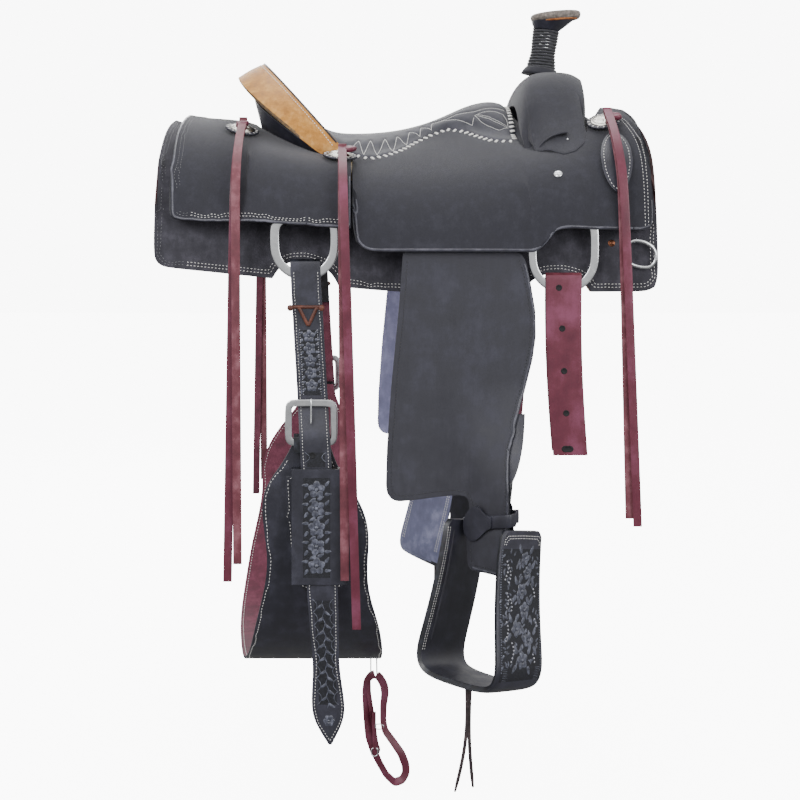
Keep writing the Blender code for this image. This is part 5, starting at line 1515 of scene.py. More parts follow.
ROSETTE = ((0.0170, 0.0003), (0.0250, 0.0003), (0.0250, 0.0022), (0.0242, 0.0030), (0.0170, 0.0032))
DOME = (
    (0.0190, 0.0030), (0.0190, 0.0038), (0.0183, 0.0044), (0.0174, 0.0047),
    (0.0166, 0.0046), (0.0158, 0.0052),
    (0.0148, 0.0057), (0.0138, 0.0060), (0.0125, 0.0064), (0.0108, 0.0068),
    (0.0090, 0.0071), (0.0070, 0.0074),
    (0.0050, 0.0076), (0.0030, 0.0077), (0.0006, 0.0078),
)
for word, side in SIDES:
    for kind in ("rear", "seat", "front"):
        node = f"{kind}_concho_{word}"
        centre, axis = place_of(node)
        bm = bmesh.new()
        lathe(bm, centre, axis, ROSETTE, 108, scallop)
        laid(f"{node}_rosette", bm, BLACK_GRAIN, node)
        bm = bmesh.new()
        lathe(bm, centre, axis, DOME, 96, cut_dome)
        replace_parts(laid(f"{node}_dome", bm, SILVER, node), node)
        bm = bmesh.new()
        a, b, n = axes_of(axis)
        ring = [
            (centre + (a * math.cos(t) + b * math.sin(t)) * 0.0216 + n * 0.0029, n)
            for t in np.linspace(0, 2 * math.pi, 60)
        ]
        sew(bm, ring, pitch_mm=8.0, length_mm=4.6, radius_mm=1.15, tilt=math.pi / 2, flat=0.5)
        laid(f"{node}_lacing", bm, LACE_WHITE, node)
print("six conchos")


# %% Knots in the strings
def knot(bm, centre, across, out, half_wide, half_deep, half_high, steps=20, rows=6):
    """A flattened ring of thong pulled tight round the tails."""
    across, out = Vector(across).normalized(), Vector(out).normalized()
    along = out.cross(across).normalized()
    rings = []
    for i in range(rows + 1):
        v = 2 * i / rows - 1
        bulge = 1.0 - 0.28 * v * v
        ring = []
        for k in range(steps):
            t = 2 * math.pi * k / steps
            c, s = math.cos(t), math.sin(t)
            x = math.copysign(abs(c) ** 0.6, c) * half_wide * bulge
            y = math.copysign(abs(s) ** 0.7, s) * half_deep * bulge
            ring.append(bm.verts.new(centre + across * x + out * y + along * v * half_high))
        rings.append(ring)
    join_rings(bm, rings)


for word, side in SIDES:
    for kind in ("rear", "seat", "front"):
        node = f"{kind}_string_{word}"
        centre, axis = place_of(f"{kind}_concho_{word}")
        down = (Vector((0.0, side, 0.0)) - axis * axis.y * side).normalized()
        low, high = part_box(node)
        spot = Vector(((low.x + high.x) / 2, centre.y, centre.z)) + down * 0.004 + axis * 0.0125
        bm = bmesh.new()
        knot(bm, spot, Vector((1.0, 0.0, 0.0)), axis, 0.0098, 0.0042, 0.0050)
        knot(bm, spot + down * 0.0085 + axis * 0.0006, Vector((1.0, 0.0, 0.15)), axis, 0.0088, 0.0040, 0.0042)
        laid(f"{node}_knot", bm, BURGUNDY, node)
print("six knots")

# %% Screws and rivets
SCREW = ((0.0062, -0.0006), (0.0062, 0.0006), (0.0055, 0.0017), (0.0038, 0.0024), (0.0012, 0.0027))
RIVET = ((0.0034, -0.0005), (0.0034, 0.0006), (0.0028, 0.0013), (0.0015, 0.0015), (0.0006, 0.0012))
STUD_STEPS = 40
BURR = ((0.0050, -0.0004), (0.0050, 0.0003), (0.0042, 0.0006))


def slotted(turn, r, h):
    """A driver's slot across the head."""
    return r, h - (0.0007 if h > 0.001 and abs(math.sin(turn)) * r < 0.0009 else 0.0)


def stud(name, node, point, profile, finish, shape=None, with_burr=False):
    """A turned piece that stands on a node's finished face."""
    side = 1 if point[1] > 0 else -1
    hit, normal, _, _ = SKINS[node]["tree"].find_nearest(Vector(point))
    if normal.y * side < 0:
        normal = -normal
    bm = bmesh.new()
    if with_burr:
        lathe(bm, hit, normal, BURR, STUD_STEPS)
    lathe(bm, hit, normal, profile, STUD_STEPS, shape)
    laid(name, bm, finish, node)


for word, side in SIDES:
    stud(f"jockey_screw_{word}", "seat_and_jockeys", (0.2128, side * 0.2625, -0.017), SCREW, STEEL, slotted)
    stud(
        f"skirt_rivet_{word}", f"skirt_{word}", (0.2878, side * 0.262, -0.1123), RIVET, COPPER,
        with_burr=True,
    )
print("screws and rivets set")


# %% [markdown]
# ## Carving on the billets and the keeper
# The ground between the flowers is matted with a fine stamp, which leaves it darker than the burnished
# petals. The petals and seed beads are painted lighter than the black leather, as painted highlight on
# burnished leather. A thin matted patch is laid first and the flowers stand on it. The upper billet carries
# a column of stacked flowers, and its lower end has scalloped borders with a feather of leaves. The stamp
# at the billet's top stays plain.

# %% Ground and carving finishes
MATTED = leather(
    "matted_carving_ground", "#0e0e12", "#191a20", "#2b2c35", 2.0, 0.9, 0.35, 0.6, 0.08, 0.8,
    Specular_IOR_Level=0.4,
)
# The carved motifs are painted lighter grey than the black leather: painted highlight, with their real
# burnish in the lower roughness.
CARVED = leather(
    "burnished_carved_leather_painted_highlight", "#2a2b34", "#484a57", "#7c7f90", 6.0, 0.6, 0.15, 0.33, 0.12, 0.3,
    Specular_IOR_Level=0.6,
)
# Seed beads painted near white: painted highlight for the glint on each seed.
BEADS_PAINTED_HIGHLIGHT = leather(
    "seed_beads_painted_highlight", "#6a6b75", "#a3a4ae", "#dcdce2", 3.0, 0.5, 0.1, 0.30, 0.10, 0.2,
    Specular_IOR_Level=0.6,
)
# A near-black disc stands for each punched hole: painted shade.
HOLE_PAINTED_SHADE = leather("strap_hole_painted_shade", "#0a0a0c", "#121215", "#1c1d22", 3.0, 0.5, 0.1, 0.8, 0.05, 0.1)
FLANK_LINE_X = ((0.13, 0.20, 0.30, 0.40, 0.60, 0.80), (-0.1385, -0.1350, -0.1290, -0.1230, -0.1130, -0.1030))


def ground(a0, a1, b0, b1, cells_a, cells_b, centre=lambda b: 0.0, height=0.12):
    """A flat patch between two lines of a strap, in millimetres."""
    rows = []
    for j in range(cells_b + 1):
        b = b0 + (b1 - b0) * j / cells_b
        rows.append([(centre(b) + a0 + (a1 - a0) * i / cells_a, b, height) for i in range(cells_a + 1)])
    return rows


def flank_mm(b):
    """The billet's middle line in millimetres at the height b."""
    return 1000.0 * float(np.interp(-b / 1000.0, *FLANK_LINE_X))


def scallops(line, half, start, end, pitch, side_sign, depth=6.0):
    """Arcs along one border, each a raised line."""
    made = []
    b = start
    while b - pitch > end:
        arc = []
        for k in range(9):
            t = math.pi * k / 8
            arc.append(
                (line(b - pitch * k / 8) + side_sign * (half - depth * math.sin(t) ** 0.8), b - pitch * k / 8)
            )
        made.append(ridge(arc, 1.2, 0.7))
        b -= pitch
    return made


def column(line, heights, radius):
    """Flowers one above another, with a leaf at each side."""
    made = []
    for k, b in enumerate(heights):
        a = line(b)
        made += flower(a, b, radius, 1.1, petals=5, turn=math.pi / 2 + 0.35 * (k % 2))
        for way in (0.45, 2.69, 3.6, 5.82):
            x, y = a + 0.9 * radius * math.cos(way), b + 0.9 * radius * math.sin(way)
            made.append(leaf(x, y, way, 0.75 * radius, 0.5 * radius, 0.9))
    return made


KEEPER_MIDDLE = -121.5
BILLET_FACE_Y, KEEPER_FACE_Y = 0.292, 0.296


def keeper_mm(_b):
    """The keeper's middle line in millimetres."""
    return KEEPER_MIDDLE


BILLET_GROUNDS = (
    (-13.5, 13.5, -232, -322, 8, 30), (-12.5, 12.5, -398, -418, 8, 8), (-12, 12, -600, -742, 8, 46),
)
for word, side in SIDES:
    inward = Vector((0.0, -side, 0.0))
    plane = (0.0, side * BILLET_FACE_Y, 0.0)
    across, up = (1.0, 0.0, 0.0), (0.0, 0.0, 1.0)
    node = f"flank_billet_{word}"
    grounds = [ground(*sizes, flank_mm) for sizes in BILLET_GROUNDS]
    press(f"{node}_ground", node, MATTED, grounds, plane, across, up, inward)
    motifs = column(flank_mm, np.arange(-240.5, -318, -17.0), 9.6)
    for sign in (-1, 1):
        motifs += [ridge([(flank_mm(b) + sign * 14.6, b) for b in np.arange(-230, -323, -6.0)], 1.2, 0.6)]
        motifs += scallops(flank_mm, 14.5, -398, -424, 13.0, sign)
        motifs += scallops(flank_mm, 14.5, -598, -752, 18.0, sign)
    for k, b in enumerate(np.arange(-604, -742, -9.0)):
        turn = math.radians(-90 + (38 if k % 2 else -38))
        motifs.append(leaf(flank_mm(b), b, turn, 12.5, 5.0, 1.1, bend=0.3 * (1 if k % 2 else -1)))
    stem = [(flank_mm(b) + 1.6 * math.sin((b + 600) / 9.0 * math.pi), b) for b in np.arange(-600, -748, -3.0)]
    motifs.append(ridge(stem, 1.6, 1.0))
    motifs += flower(flank_mm(-764), -764, 8.5, 1.1, petals=6)
    press(f"{node}_carving", node, CARVED, motifs, plane, across, up, inward)
    # The seeds take the painted highlight finish.
    seeds = [
        dome(flank_mm(b) + sign * 12.2, b, 0.9, 0.6)
        for b in np.arange(-232, -322, -3.4)
        for sign in (-1, 1)
    ]
    press(f"{node}_beads", node, BEADS_PAINTED_HIGHLIGHT, seeds, plane, across, up, inward)

    node = f"cinch_keeper_{word}"
    plane = (0.0, side * KEEPER_FACE_Y, 0.0)
    keeper_ground = [ground(-18.5, 18.5, -432, -568, 10, 40, keeper_mm)]
    press(f"{node}_ground", node, MATTED, keeper_ground, plane, across, up, inward)
    motifs = column(keeper_mm, (-448, -474, -500, -526, -552), 13.0)
    for b in (-461, -487, -513, -539):
        motifs += [leaf(KEEPER_MIDDLE, b, t, 11.0, 6.5, 1.0) for t in (0.0, math.pi)]
    press(f"{node}_carving", node, CARVED, motifs, plane, across, up, inward)

# %% Holes, laces and the patch under the keeper
# Each hole is a near-black disc laid on the strap: painted shade for the hole.
HOLE = ((0.0044, -0.0002), (0.0041, 0.0005), (0.0034, 0.0006), (0.0030, 0.0002), (0.0004, 0.0001))


def slotted_hole(turn, r, h):
    """Stretches the round hole to a slot along the strap."""
    return r * (1.0 + 0.9 * abs(math.cos(turn)) ** 2), h


for word, side in SIDES:
    for k, (x, z) in enumerate(((-0.1273, -0.4018), (-0.1136, -0.6335))):
        stud(
            f"flank_billet_{word}_hole_{k + 1}", f"flank_billet_{word}", (x, side * KEEPER_FACE_Y, z),
            HOLE, HOLE_PAINTED_SHADE,
        )
for k, (x, z) in enumerate(((0.2117, -0.1739), (0.2162, -0.2301), (0.2188, -0.2886), (0.2217, -0.3467))):
    stud(f"off_billet_hole_{k + 1}", "off_billet", (x, -0.280, z), HOLE, HOLE_PAINTED_SHADE)
stud("off_billet_slot", "off_billet", (0.2235, -0.280, -0.3960), HOLE, HOLE_PAINTED_SHADE, slotted_hole)
for k, z in enumerate((-0.20, -0.25, -0.30, -0.35, -0.40)):
    x = float(np.interp(-z, (0.150, 0.200, 0.300, 0.465), (0.2190, 0.2180, 0.2140, 0.2080)))
    stud(f"latigo_hole_{k + 1}", "latigo", (x, 0.280, z), HOLE, HOLE_PAINTED_SHADE)


def thong(bm, tree, line, wide_mm, thick_mm, way):
    """A flat lace that lies on a face along a line."""
    spots = dropped(tree, along_line(line, 1.5 * MM), way)
    rings = []
    for i, (p, n) in enumerate(spots):
        along = (spots[min(i + 1, len(spots) - 1)][0] - spots[max(i - 1, 0)][0]).normalized()
        flat = n.cross(along).normalized() * wide_mm * MM / 2
        lift = n * thick_mm * MM
        rings.append([bm.verts.new(p + flat * a + lift * b) for a, b in THONG_SECTION])
    join_rings(bm, rings)


def billet_line(spots, side):
    """Places beside the billet, from which a lace is dropped on it."""
    return [Vector((x, side * 0.30, z)) for x, z in spots]


THONG_SECTION = ((-1, -0.4), (-0.8, 0.9), (0, 1.1), (0.8, 0.9), (1, -0.4))
# ends of each lace, its width and its height in millimetres
BILLET_LACES = (
    ((-0.1590, -0.2004), (-0.1140, -0.2004), 5.0, 1.6), ((-0.1465, -0.2010), (-0.1335, -0.2262), 5.2, 2.2),
    ((-0.1214, -0.2010), (-0.1335, -0.2262), 5.2, 1.8),
)
LACE_END = ((0.0042, 0.0), (0.0044, 0.0022), (0.0032, 0.0038), (0.0012, 0.0042))
for word, side in SIDES:
    node = f"flank_billet_{word}"
    bm = bmesh.new()
    way = (0.0, -side, 0.0)
    for start, end, wide, high in BILLET_LACES:
        thong(bm, SKINS[node]["tree"], billet_line([start, end], side), wide, high, way)
    for x in (-0.1575, -0.1150):
        lathe(bm, Vector((x, side * 0.2930, -0.2004)), Vector((0, side, 0)), LACE_END, 16)
    bmesh.ops.recalc_face_normals(bm, faces=bm.faces)
    laid(f"{node}_lace", bm, LACE_BROWN, node)

PATCH = [
    (-0.1653, -0.4322), (-0.1602, -0.5289), (-0.1543, -0.5855), (-0.1394, -0.5959), (-0.0918, -0.5944),
    (-0.0770, -0.5869), (-0.0774, -0.4318),
]
for word, side in SIDES:
    tree = SKINS["flank_cinch"]["tree"]

    def patch_place(x, z, s, behind):
        hit = tree.ray_cast(Vector((x, s * 0.33, z)), Vector((0, -s, 0)), 0.1)[0]
        y = abs(hit.y) if hit is not None else 0.279
        return Vector((x, s * (y + 0.0018 - behind), z))

    bm, rim = pattern_sheet(PATCH, 2.2 * MM, side, patch_place, cell=0.005)
    patch = eased_edges(new_piece(f"cinch_patch_{word}", bm, [BLACK_GRAIN]), 0.6)
    carry(patch, "flank_cinch")
    SKINS[f"patch_{word}"] = {
        "obj": patch, "tree": tree_of(patch), "rims": [rim], "back_rims": [], "face_way": sideways,
    }
    bm = bmesh.new()
    for row in runs(inside_edge(f"patch_{word}", 4.0), lambda p: True):
        sew(bm, row, pitch_mm=5.0, length_mm=3.2, radius_mm=0.6)
    laid(f"cinch_patch_{word}_stitching", bm, THREAD, "flank_cinch")
stitch_edges(
    "flank_cinch", (5.0,), THREAD, keep=lambda p: p.z < -0.41, name="flank_cinch_inner_stitching",
    back=True, pitch_mm=5.0, length_mm=3.2, radius_mm=0.6,
)
print("billets and keepers carved")

# %% [markdown]
# ## The fork's lower flap
# The fork cover is cut long enough to reach the jockeys. Its lower edge is drawn to a blunt point, held
# by one tack, and follows the jockey's slope.

# %% Flap between the fork cover and the jockey
FLAP_ROWS, FLAP_LANES = 26, 33
FLAP_HEAD_Z = 0.118
FLAP_ROUNDS = 500
RAY_Y, RAY_REACH = 0.40, 0.36
TACK = ((0.0016, -0.0004), (0.0015, 0.0005), (0.0006, 0.0009))
FLAP_FOOT_X = (0.1840, 0.1890, 0.2015, 0.2148, 0.2260, 0.2419, 0.2570, 0.2640)
FLAP_FOOT_Z = (0.0360, 0.0315, 0.0215, 0.0152, 0.0120, 0.0163, 0.0282, 0.0420)
for word, side in SIDES:
    fork, jockeys = SKINS["fork_cover"]["tree"], SKINS["seat_and_jockeys"]["tree"]
    inwards = Vector((0.0, -side, 0.0))
    places = np.linspace(0.0, len(FLAP_FOOT_X) - 1.0, FLAP_LANES)
    grid, touch, spots = [], [], []
    for place in places:
        foot_x, foot_z = (float(np.interp(place, range(len(row)), row)) for row in (FLAP_FOOT_X, FLAP_FOOT_Z))
        lowest = foot_z - 16.0 * MM * min(max((foot_x - 0.184) / 0.008, 0.0), 1.0)
        while foot_z > lowest:
            hits = [
                tree.ray_cast(Vector((foot_x, side * RAY_Y, foot_z)), inwards, RAY_REACH)[0]
                for tree in (fork, jockeys)
            ]
            if None not in hits and abs(hits[1].y) > abs(hits[0].y) + 2.0 * MM:
                break
            if hits[0] is None:
                break
            foot_z -= 1.0 * MM
        spots.append([
            Vector((foot_x, side * RAY_Y, FLAP_HEAD_Z + (foot_z - FLAP_HEAD_Z) * j / FLAP_ROWS))
            for j in range(FLAP_ROWS + 1)
        ])
        hits = [
            [tree.ray_cast(spot, inwards, RAY_REACH)[0] for tree in (fork, jockeys)]
            for spot in spots[-1]
        ]
        touch.append([max([abs(h.y) for h in pair if h is not None] or [0.0]) for pair in hits])
    touch = np.array(touch)
    reach = touch.copy()
    for _ in range(FLAP_ROUNDS):
        up_down = 0.5 * (reach[:, :-2] + reach[:, 2:])
        mean = up_down.copy()
        mean[1:-1] = 0.6 * up_down[1:-1] + 0.2 * (reach[:-2, 1:-1] + reach[2:, 1:-1])
        reach[:, 1:-1] = np.maximum(touch[:, 1:-1], mean)
        reach[1:-1, -1] = np.maximum(touch[1:-1, -1], 0.5 * (reach[:-2, -1] + reach[2:, -1]))
    for lane, line in enumerate(spots):
        hem = min(lane, FLAP_LANES - 1 - lane) / 5.0
        grid.append([
            Vector((p.x, side * (reach[lane, j] + (-0.8 + 2.9 * min(hem, j / 8.0, 1.0)) * MM), p.z))
            for j, p in enumerate(line)
        ])
    bm = bmesh.new()
    lanes = [[bm.verts.new(p) for p in line] for line in grid]
    for low, high in zip(lanes[:-1], lanes[1:]):
        join_rows(bm, (low, high) if side < 0 else (high, low))
    bmesh.ops.recalc_face_normals(bm, faces=bm.faces)
    if sum(f.normal.y for f in bm.faces) * side < 0:
        bmesh.ops.reverse_faces(bm, faces=bm.faces)
    flap = eased_edges(thicken(new_piece(f"fork_flap_{word}", bm, [ROUGH_OUT]), 2.4), 0.8)
    carry(flap, "fork_cover")
    bm = bmesh.new()
    tack = Vector((0.2359, side * 0.205, 0.0372))
    spot = min((v.co for v in flap.data.vertices), key=lambda c: (c - tack).length)
    lathe(bm, spot, Vector((0.0, side * 0.6, 0.8)), TACK, 14)
    laid(f"fork_tack_{word}", bm, STEEL, "fork_cover")
print("fork flaps laid")


# %% [markdown]
# ## Stirrups, hobble straps and the turned leathers
# A leather-covered roping stirrup: a bent wooden band under wet-moulded black leather. The cover is
# tooled on the outer limb, and a welt with two rows of white thread closes it along the front edge. The
# hobble strap is a short belt round the leathers. It ends in a pear-shaped tab, which is left plain.

# %% The stirrup's own directions
LEAN = math.radians(10.0)


def stirrup_axes(side):
    """The bolt's middle, outwards along it, forwards across the tread and up along the limb."""
    foot = Vector((BOLT.x, side * BOLT.y, BOLT.z))
    out = Vector((TURN_COS, side * TURN_COS, 0.0))
    across = Vector((TURN_COS * math.cos(LEAN), -side * TURN_COS * math.cos(LEAN), -math.sin(LEAN)))
    up = Vector((TURN_COS * math.sin(LEAN), -side * TURN_COS * math.sin(LEAN), math.cos(LEAN)))
    return foot, out, across, up


LIMB_FLOWERS = (
    (7, -18, 9.5), (13, -37, 9.5), (2, -60, 11.5), (8, -84, 11.5), (-9, -107, 12.0),
    (15, -122, 11.5), (1, -146, 12.5),
)
# place across the limb and both ends of each row
SEED_ROWS = (
    (-31, -22, -46), (-26, -30, -52), (-29, -62, -84), (-22, -70, -88), (-30, -98, -122), (27, -58, -70),
    (-20, -124, -150), (30, -96, -108), (24, -140, -152),
)
FILLING_LEAVES = 150
GROUND_BANDS = ((-6, -62), (-62, -116), (-116, -172))


def limb_work():
    """The stem, flowers, leaves and seeds of one limb in millimetres."""
    leaves, seeds = [], []
    stem = [(a, b) for a, b, _ in LIMB_FLOWERS]
    leaves.append(ridge([(a * 0.6 + 3 * math.sin(b / 9), b) for a, b in stem], 2.2, 0.9))
    for k, (a, b, r) in enumerate(LIMB_FLOWERS):
        leaves += flower(a, b, r, 1.5, petals=5, turn=0.5 * k)
        for j, turn in enumerate((0.6, 2.4, 3.6, 5.6)):
            x, y = a + r * math.cos(turn), b + r * math.sin(turn)
            leaves.append(leaf(x, y, turn, 14.0, 8.0, 1.2, bend=0.35 * (-1) ** j))
    for b in np.arange(-8, -160, -3.1):
        leaves.append(dome(-41.0, b, 1.25, 0.9))
        leaves.append(dome(41.0, b, 1.25, 0.9))
    for a, b0, b1 in SEED_ROWS:
        for i, b in enumerate(np.arange(b0, b1, -4.6)):
            seeds.append(dome(a + 3.2 * math.sin(i * 0.8), b, 1.45, 1.2))
    rng = np.random.default_rng(11)
    for _ in range(FILLING_LEAVES):
        a, b = rng.uniform(-38, 38), rng.uniform(-155, -12)
        if all(math.hypot(a - fa, b - fb) > fr + 2 for fa, fb, fr in LIMB_FLOWERS):
            leaves.append(leaf(a, b, rng.uniform(0, 6.28), 7.5, 4.2, 0.9))
    for b in np.arange(-156, -172, -2.2):
        leaves.append(ridge([(-38, b), (38, b)], 0.9, 0.5))
    return leaves, seeds


for word, side in SIDES:
    node = f"stirrup_{word}"
    foot, out, across, up = stirrup_axes(side)
    middle = foot + out * 0.062
    leaves, seeds = limb_work()
    bands = [ground(-42.5, 42.5, b0, b1, 22, 20) for b0, b1 in GROUND_BANDS]
    press(f"{node}_ground", node, MATTED, bands, middle, across, up, -out)
    press(f"{node}_carving", node, CARVED, leaves, middle, across, up, -out)
    # The seeds take the painted highlight finish.
    press(f"{node}_beads", node, BEADS_PAINTED_HIGHLIGHT, seeds, middle, across, up, -out)

# %% White stitching of the stirrups, and painted light on their faces towards the horse
# The black leather painted lighter and bluish: painted light on the stirrup's faces towards the horse.
GRAIN_PAINTED_LIGHT = leather(
    "black_leather_painted_light_towards_the_horse", "#55576e", "#6f7290", "#9295b4", 30.0, 0.8, 0.1, 0.4, 0.1, 0.3,
    Specular_IOR_Level=0.5,
)
for word, side in SIDES:
    node = f"stirrup_{word}"
    foot, out, across, up = stirrup_axes(side)
    skin = SKINS[node]["obj"].data
    skin.materials.append(GRAIN_PAINTED_LIGHT)
    # The inner limb's faces towards the horse take the painted light.
    for f in skin.polygons:
        if f.normal.dot(out) < -0.6 and (f.center - foot).dot(out) < -0.03 and f.center.z > -0.690:
            f.material_index = len(skin.materials) - 1
    rows = []
    for a in (-41.0, -37.0, 37.0, 41.0):
        rows.append([foot - out * 0.12 + across * a * MM + up * b * MM for b in range(12, -161, -12)])
    sew_lines(
        f"{node}_horse_side_stitching", node, rows, THREAD, way=out, pitch_mm=4.4, length_mm=2.8,
        radius_mm=0.6,
    )

WELT_SECTION = ((-1, -0.3), (-0.7, 0.6), (0, 1), (0.7, 0.6), (1, -0.3))
for word, side in SIDES:
    node = f"stirrup_{word}"
    foot, out, across, up = stirrup_axes(side)
    rows = []
    for inset in (0.0, 3.4):
        half = [(39 - inset, -2), (38.5 - inset, 6 - inset), (33 - inset, 10.5 - inset)]
        arch = [(-a, b) for a, b in half] + [(0, 11.2 - inset)] + half[::-1]
        rows.append([foot + out * 0.062 + across * a * MM + up * b * MM for a, b in arch])
    sew_lines(
        f"{node}_top_stitching", node, rows, THREAD, way=-out, pitch_mm=3.4, length_mm=2.2,
        radius_mm=0.5,
    )
    rows = []
    heights = range(8, -161, -12)
    for a in (36.5, 40.5):
        rows.append(
            [foot - out * 0.02 - across * (a + 3.0 * min(1, -b / 100.0)) * MM + up * b * MM for b in heights]
        )
    sew_lines(
        f"{node}_inner_stitching", node, rows, THREAD, way=-out, pitch_mm=3.4, length_mm=2.2,
        radius_mm=0.5,
    )
    welt = [
        foot - out * 0.02 - across * (28.0 + 2.5 * min(1, -b / 100.0)) * MM + up * b * MM
        for b in range(2, -150, -6)
    ]
    bm = bmesh.new()
    spots = dropped(SKINS[node]["tree"], along_line(welt, 3 * MM), -out)
    rings = []
    for i, (p, n) in enumerate(spots):
        way = (spots[min(i + 1, len(spots) - 1)][0] - spots[max(i - 1, 0)][0]).normalized()
        flat = n.cross(way).normalized()
        shrink = math.sin(math.pi * (i + 0.5) / len(spots)) ** 0.3
        rings.append(
            [bm.verts.new(p + (flat * 1.9 * c + n * 1.5 * s) * MM * shrink) for c, s in WELT_SECTION]
        )
    join_rings(bm, rings)
    bmesh.ops.recalc_face_normals(bm, faces=bm.faces)
    laid(f"{node}_welt", bm, FENDER_HIDE, node)

# %% Hobble straps with their tabs
BELT = [
    (-0.0385, 0.0092), (0.0385, 0.0092), (0.0412, 0.0055), (0.0412, -0.0110), (0.0385, -0.0142),
    (-0.0385, -0.0142), (-0.0412, -0.0110), (-0.0412, 0.0055),
]
# outwards from the belt's inner face in millimetres, and up as a share of half its width
BELT_SECTION = (
    (0, -0.86), (0.25, -1), (2.2, -1), (2.6, -0.86), (2.8, -0.3), (2.8, 0.3), (2.6, 0.86),
    (2.2, 1), (0.25, 1), (0, 0.86),
)
BELT_MIDDLE, BELT_RISE, BELT_HALF = -0.4875, 0.20, 0.0088
TAB = [
    (0.006, 0.0085), (0.000, 0.0120), (-0.008, 0.0205), (-0.016, 0.0238), (-0.024, 0.0218), (-0.0330, 0.0130),
    (-0.0370, 0.0000), (-0.0350, -0.0130), (-0.0270, -0.0220), (-0.0170, -0.0240), (-0.008, -0.0195),
    (0.000, -0.0130), (0.006, -0.0092), (0.0120, -0.0086), (0.0120, 0.0085),
]
for word, side in SIDES:
    node = f"hobble_strap_{word}"
    bpy.data.objects.remove(SKINS[node]["obj"])

    def level(u, w, z):
        """A point of the turned plane, u along the strap and w towards the horse."""
        return Vector((BOLT_X + (u + w) * TURN_COS, side * (BOLT_Y + (u - w) * TURN_COS), z))

    loop = softened(along_line([(u, w, 0.0) for u, w in BELT], 2.0 * MM, closed=True), 3, True)
    bm = bmesh.new()
    rings = []
    for i, p in enumerate(loop):
        ahead, before = loop[(i + 1) % len(loop)], loop[i - 1]
        way = (ahead - before).normalized()
        out_way = Vector((-way.y, way.x, 0.0))
        if out_way.dot(p) < 0:
            out_way = -out_way
        height = BELT_MIDDLE + BELT_RISE * p.x + (0.004 if p.y > 0 else 0.0)
        ring = []
        for d, h in BELT_SECTION:
            q = p + out_way * (d - 1.8) * MM
            ring.append(bm.verts.new(level(q.x, q.y, height + h * BELT_HALF)))
        rings.append(ring)
    join_rings(bm, rings, closed=True)
    bmesh.ops.recalc_face_normals(bm, faces=bm.faces)
    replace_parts(laid(f"{node}_belt", bm, BLACK_GRAIN, node), node)

    def tab_place(x, z, _side, behind):
        return level(x, -0.0172 + behind, BELT_MIDDLE + BELT_RISE * x + z)

    bm, rim = pattern_sheet(TAB, 2.8 * MM, side, tab_place, cell=0.003, rounds=3)
    carry(eased_edges(new_piece(f"{node}_tab", bm, [BLACK_GRAIN]), 1.0, 3), node)
print("hobble straps done")

# %% Laces under the treads
LACE_SECTION = ((-1, -0.8), (1, -0.8), (1.1, 0), (1, 0.8), (-1, 0.8), (-1.1, 0))
# both ends (x, z) and the sideways bow, in metres
TREAD_LACES = (
    ((0.0790, -0.7020), (0.0635, -0.8400), 0.006), ((0.0835, -0.7020), (0.0875, -0.8340), -0.003),
)
LACE_BLACK = leather("black_lace_leather", "#1c1718", "#31282a", "#57484a", 8.0, 0.7, 0.15, 0.5, 0.1, 0.3)
for word, side in SIDES:
    bm = bmesh.new()
    for start, end, bow in TREAD_LACES:
        rings = []
        for i in range(25):
            t = i / 24
            x = start[0] + (end[0] - start[0]) * t + bow * math.sin(math.pi * t)
            z = start[1] + (end[1] - start[1]) * t
            y = side * (0.348 - 0.004 * t)
            wide = 2.2 * MM * (1.0 if t < 0.9 else 1.0 - 4.0 * (t - 0.9))
            rings.append([bm.verts.new((x + a * wide, y + side * b * MM, z)) for a, b in LACE_SECTION])
        join_rings(bm, rings)
    bmesh.ops.recalc_face_normals(bm, faces=bm.faces)
    laid(f"stirrup_{word}_laces", bm, LACE_BLACK, f"stirrup_{word}")
print("laces hung")


# %% [markdown]
# ## Wire, swept straps and the connector
# The breast collar's dees are loops of 5 mm wire, so they are drawn as wire: a round section carried
# along a smoothed loop. The connector is a light strap that keeps the flank cinch from sliding back. It
# hangs from two wires, goes round a small buckle and doubles back, and it shows its flat face as it
# twists.

# %% A section carried along a line
def swept(bm, points, wide, thick, facing, sides=12, closed=False):
    """A rounded section along a line; facing(i) is the direction that its flat side looks."""
    count = len(points)
    rings = []
    for i, p in enumerate(points):
        ahead = points[(i + 1) % count] if closed else points[min(i + 1, count - 1)]
        before = points[i - 1] if closed else points[max(i - 1, 0)]
        way = (ahead - before).normalized()
        out = facing(i / (count - 1))
        out = (out - way * out.dot(way)).normalized()
        flat = way.cross(out).normalized()
        ring = []
        for k in range(sides):
            t = 2 * math.pi * k / sides
            c, s = math.cos(t), math.sin(t)
            round_c = math.copysign(abs(c) ** (1.0 if wide == thick else 0.5), c)
            round_s = math.copysign(abs(s) ** (1.0 if wide == thick else 0.7), s)
            ring.append(bm.verts.new(p + flat * round_c * wide / 2 + out * round_s * thick / 2))
        rings.append(ring)
    join_rings(bm, rings, closed=closed)
    bmesh.ops.recalc_face_normals(bm, faces=bm.faces)


def to_the_right(_share):
    """Square to the saddle's middle plane."""
    return Vector((0.0, -1.0, 0.0))


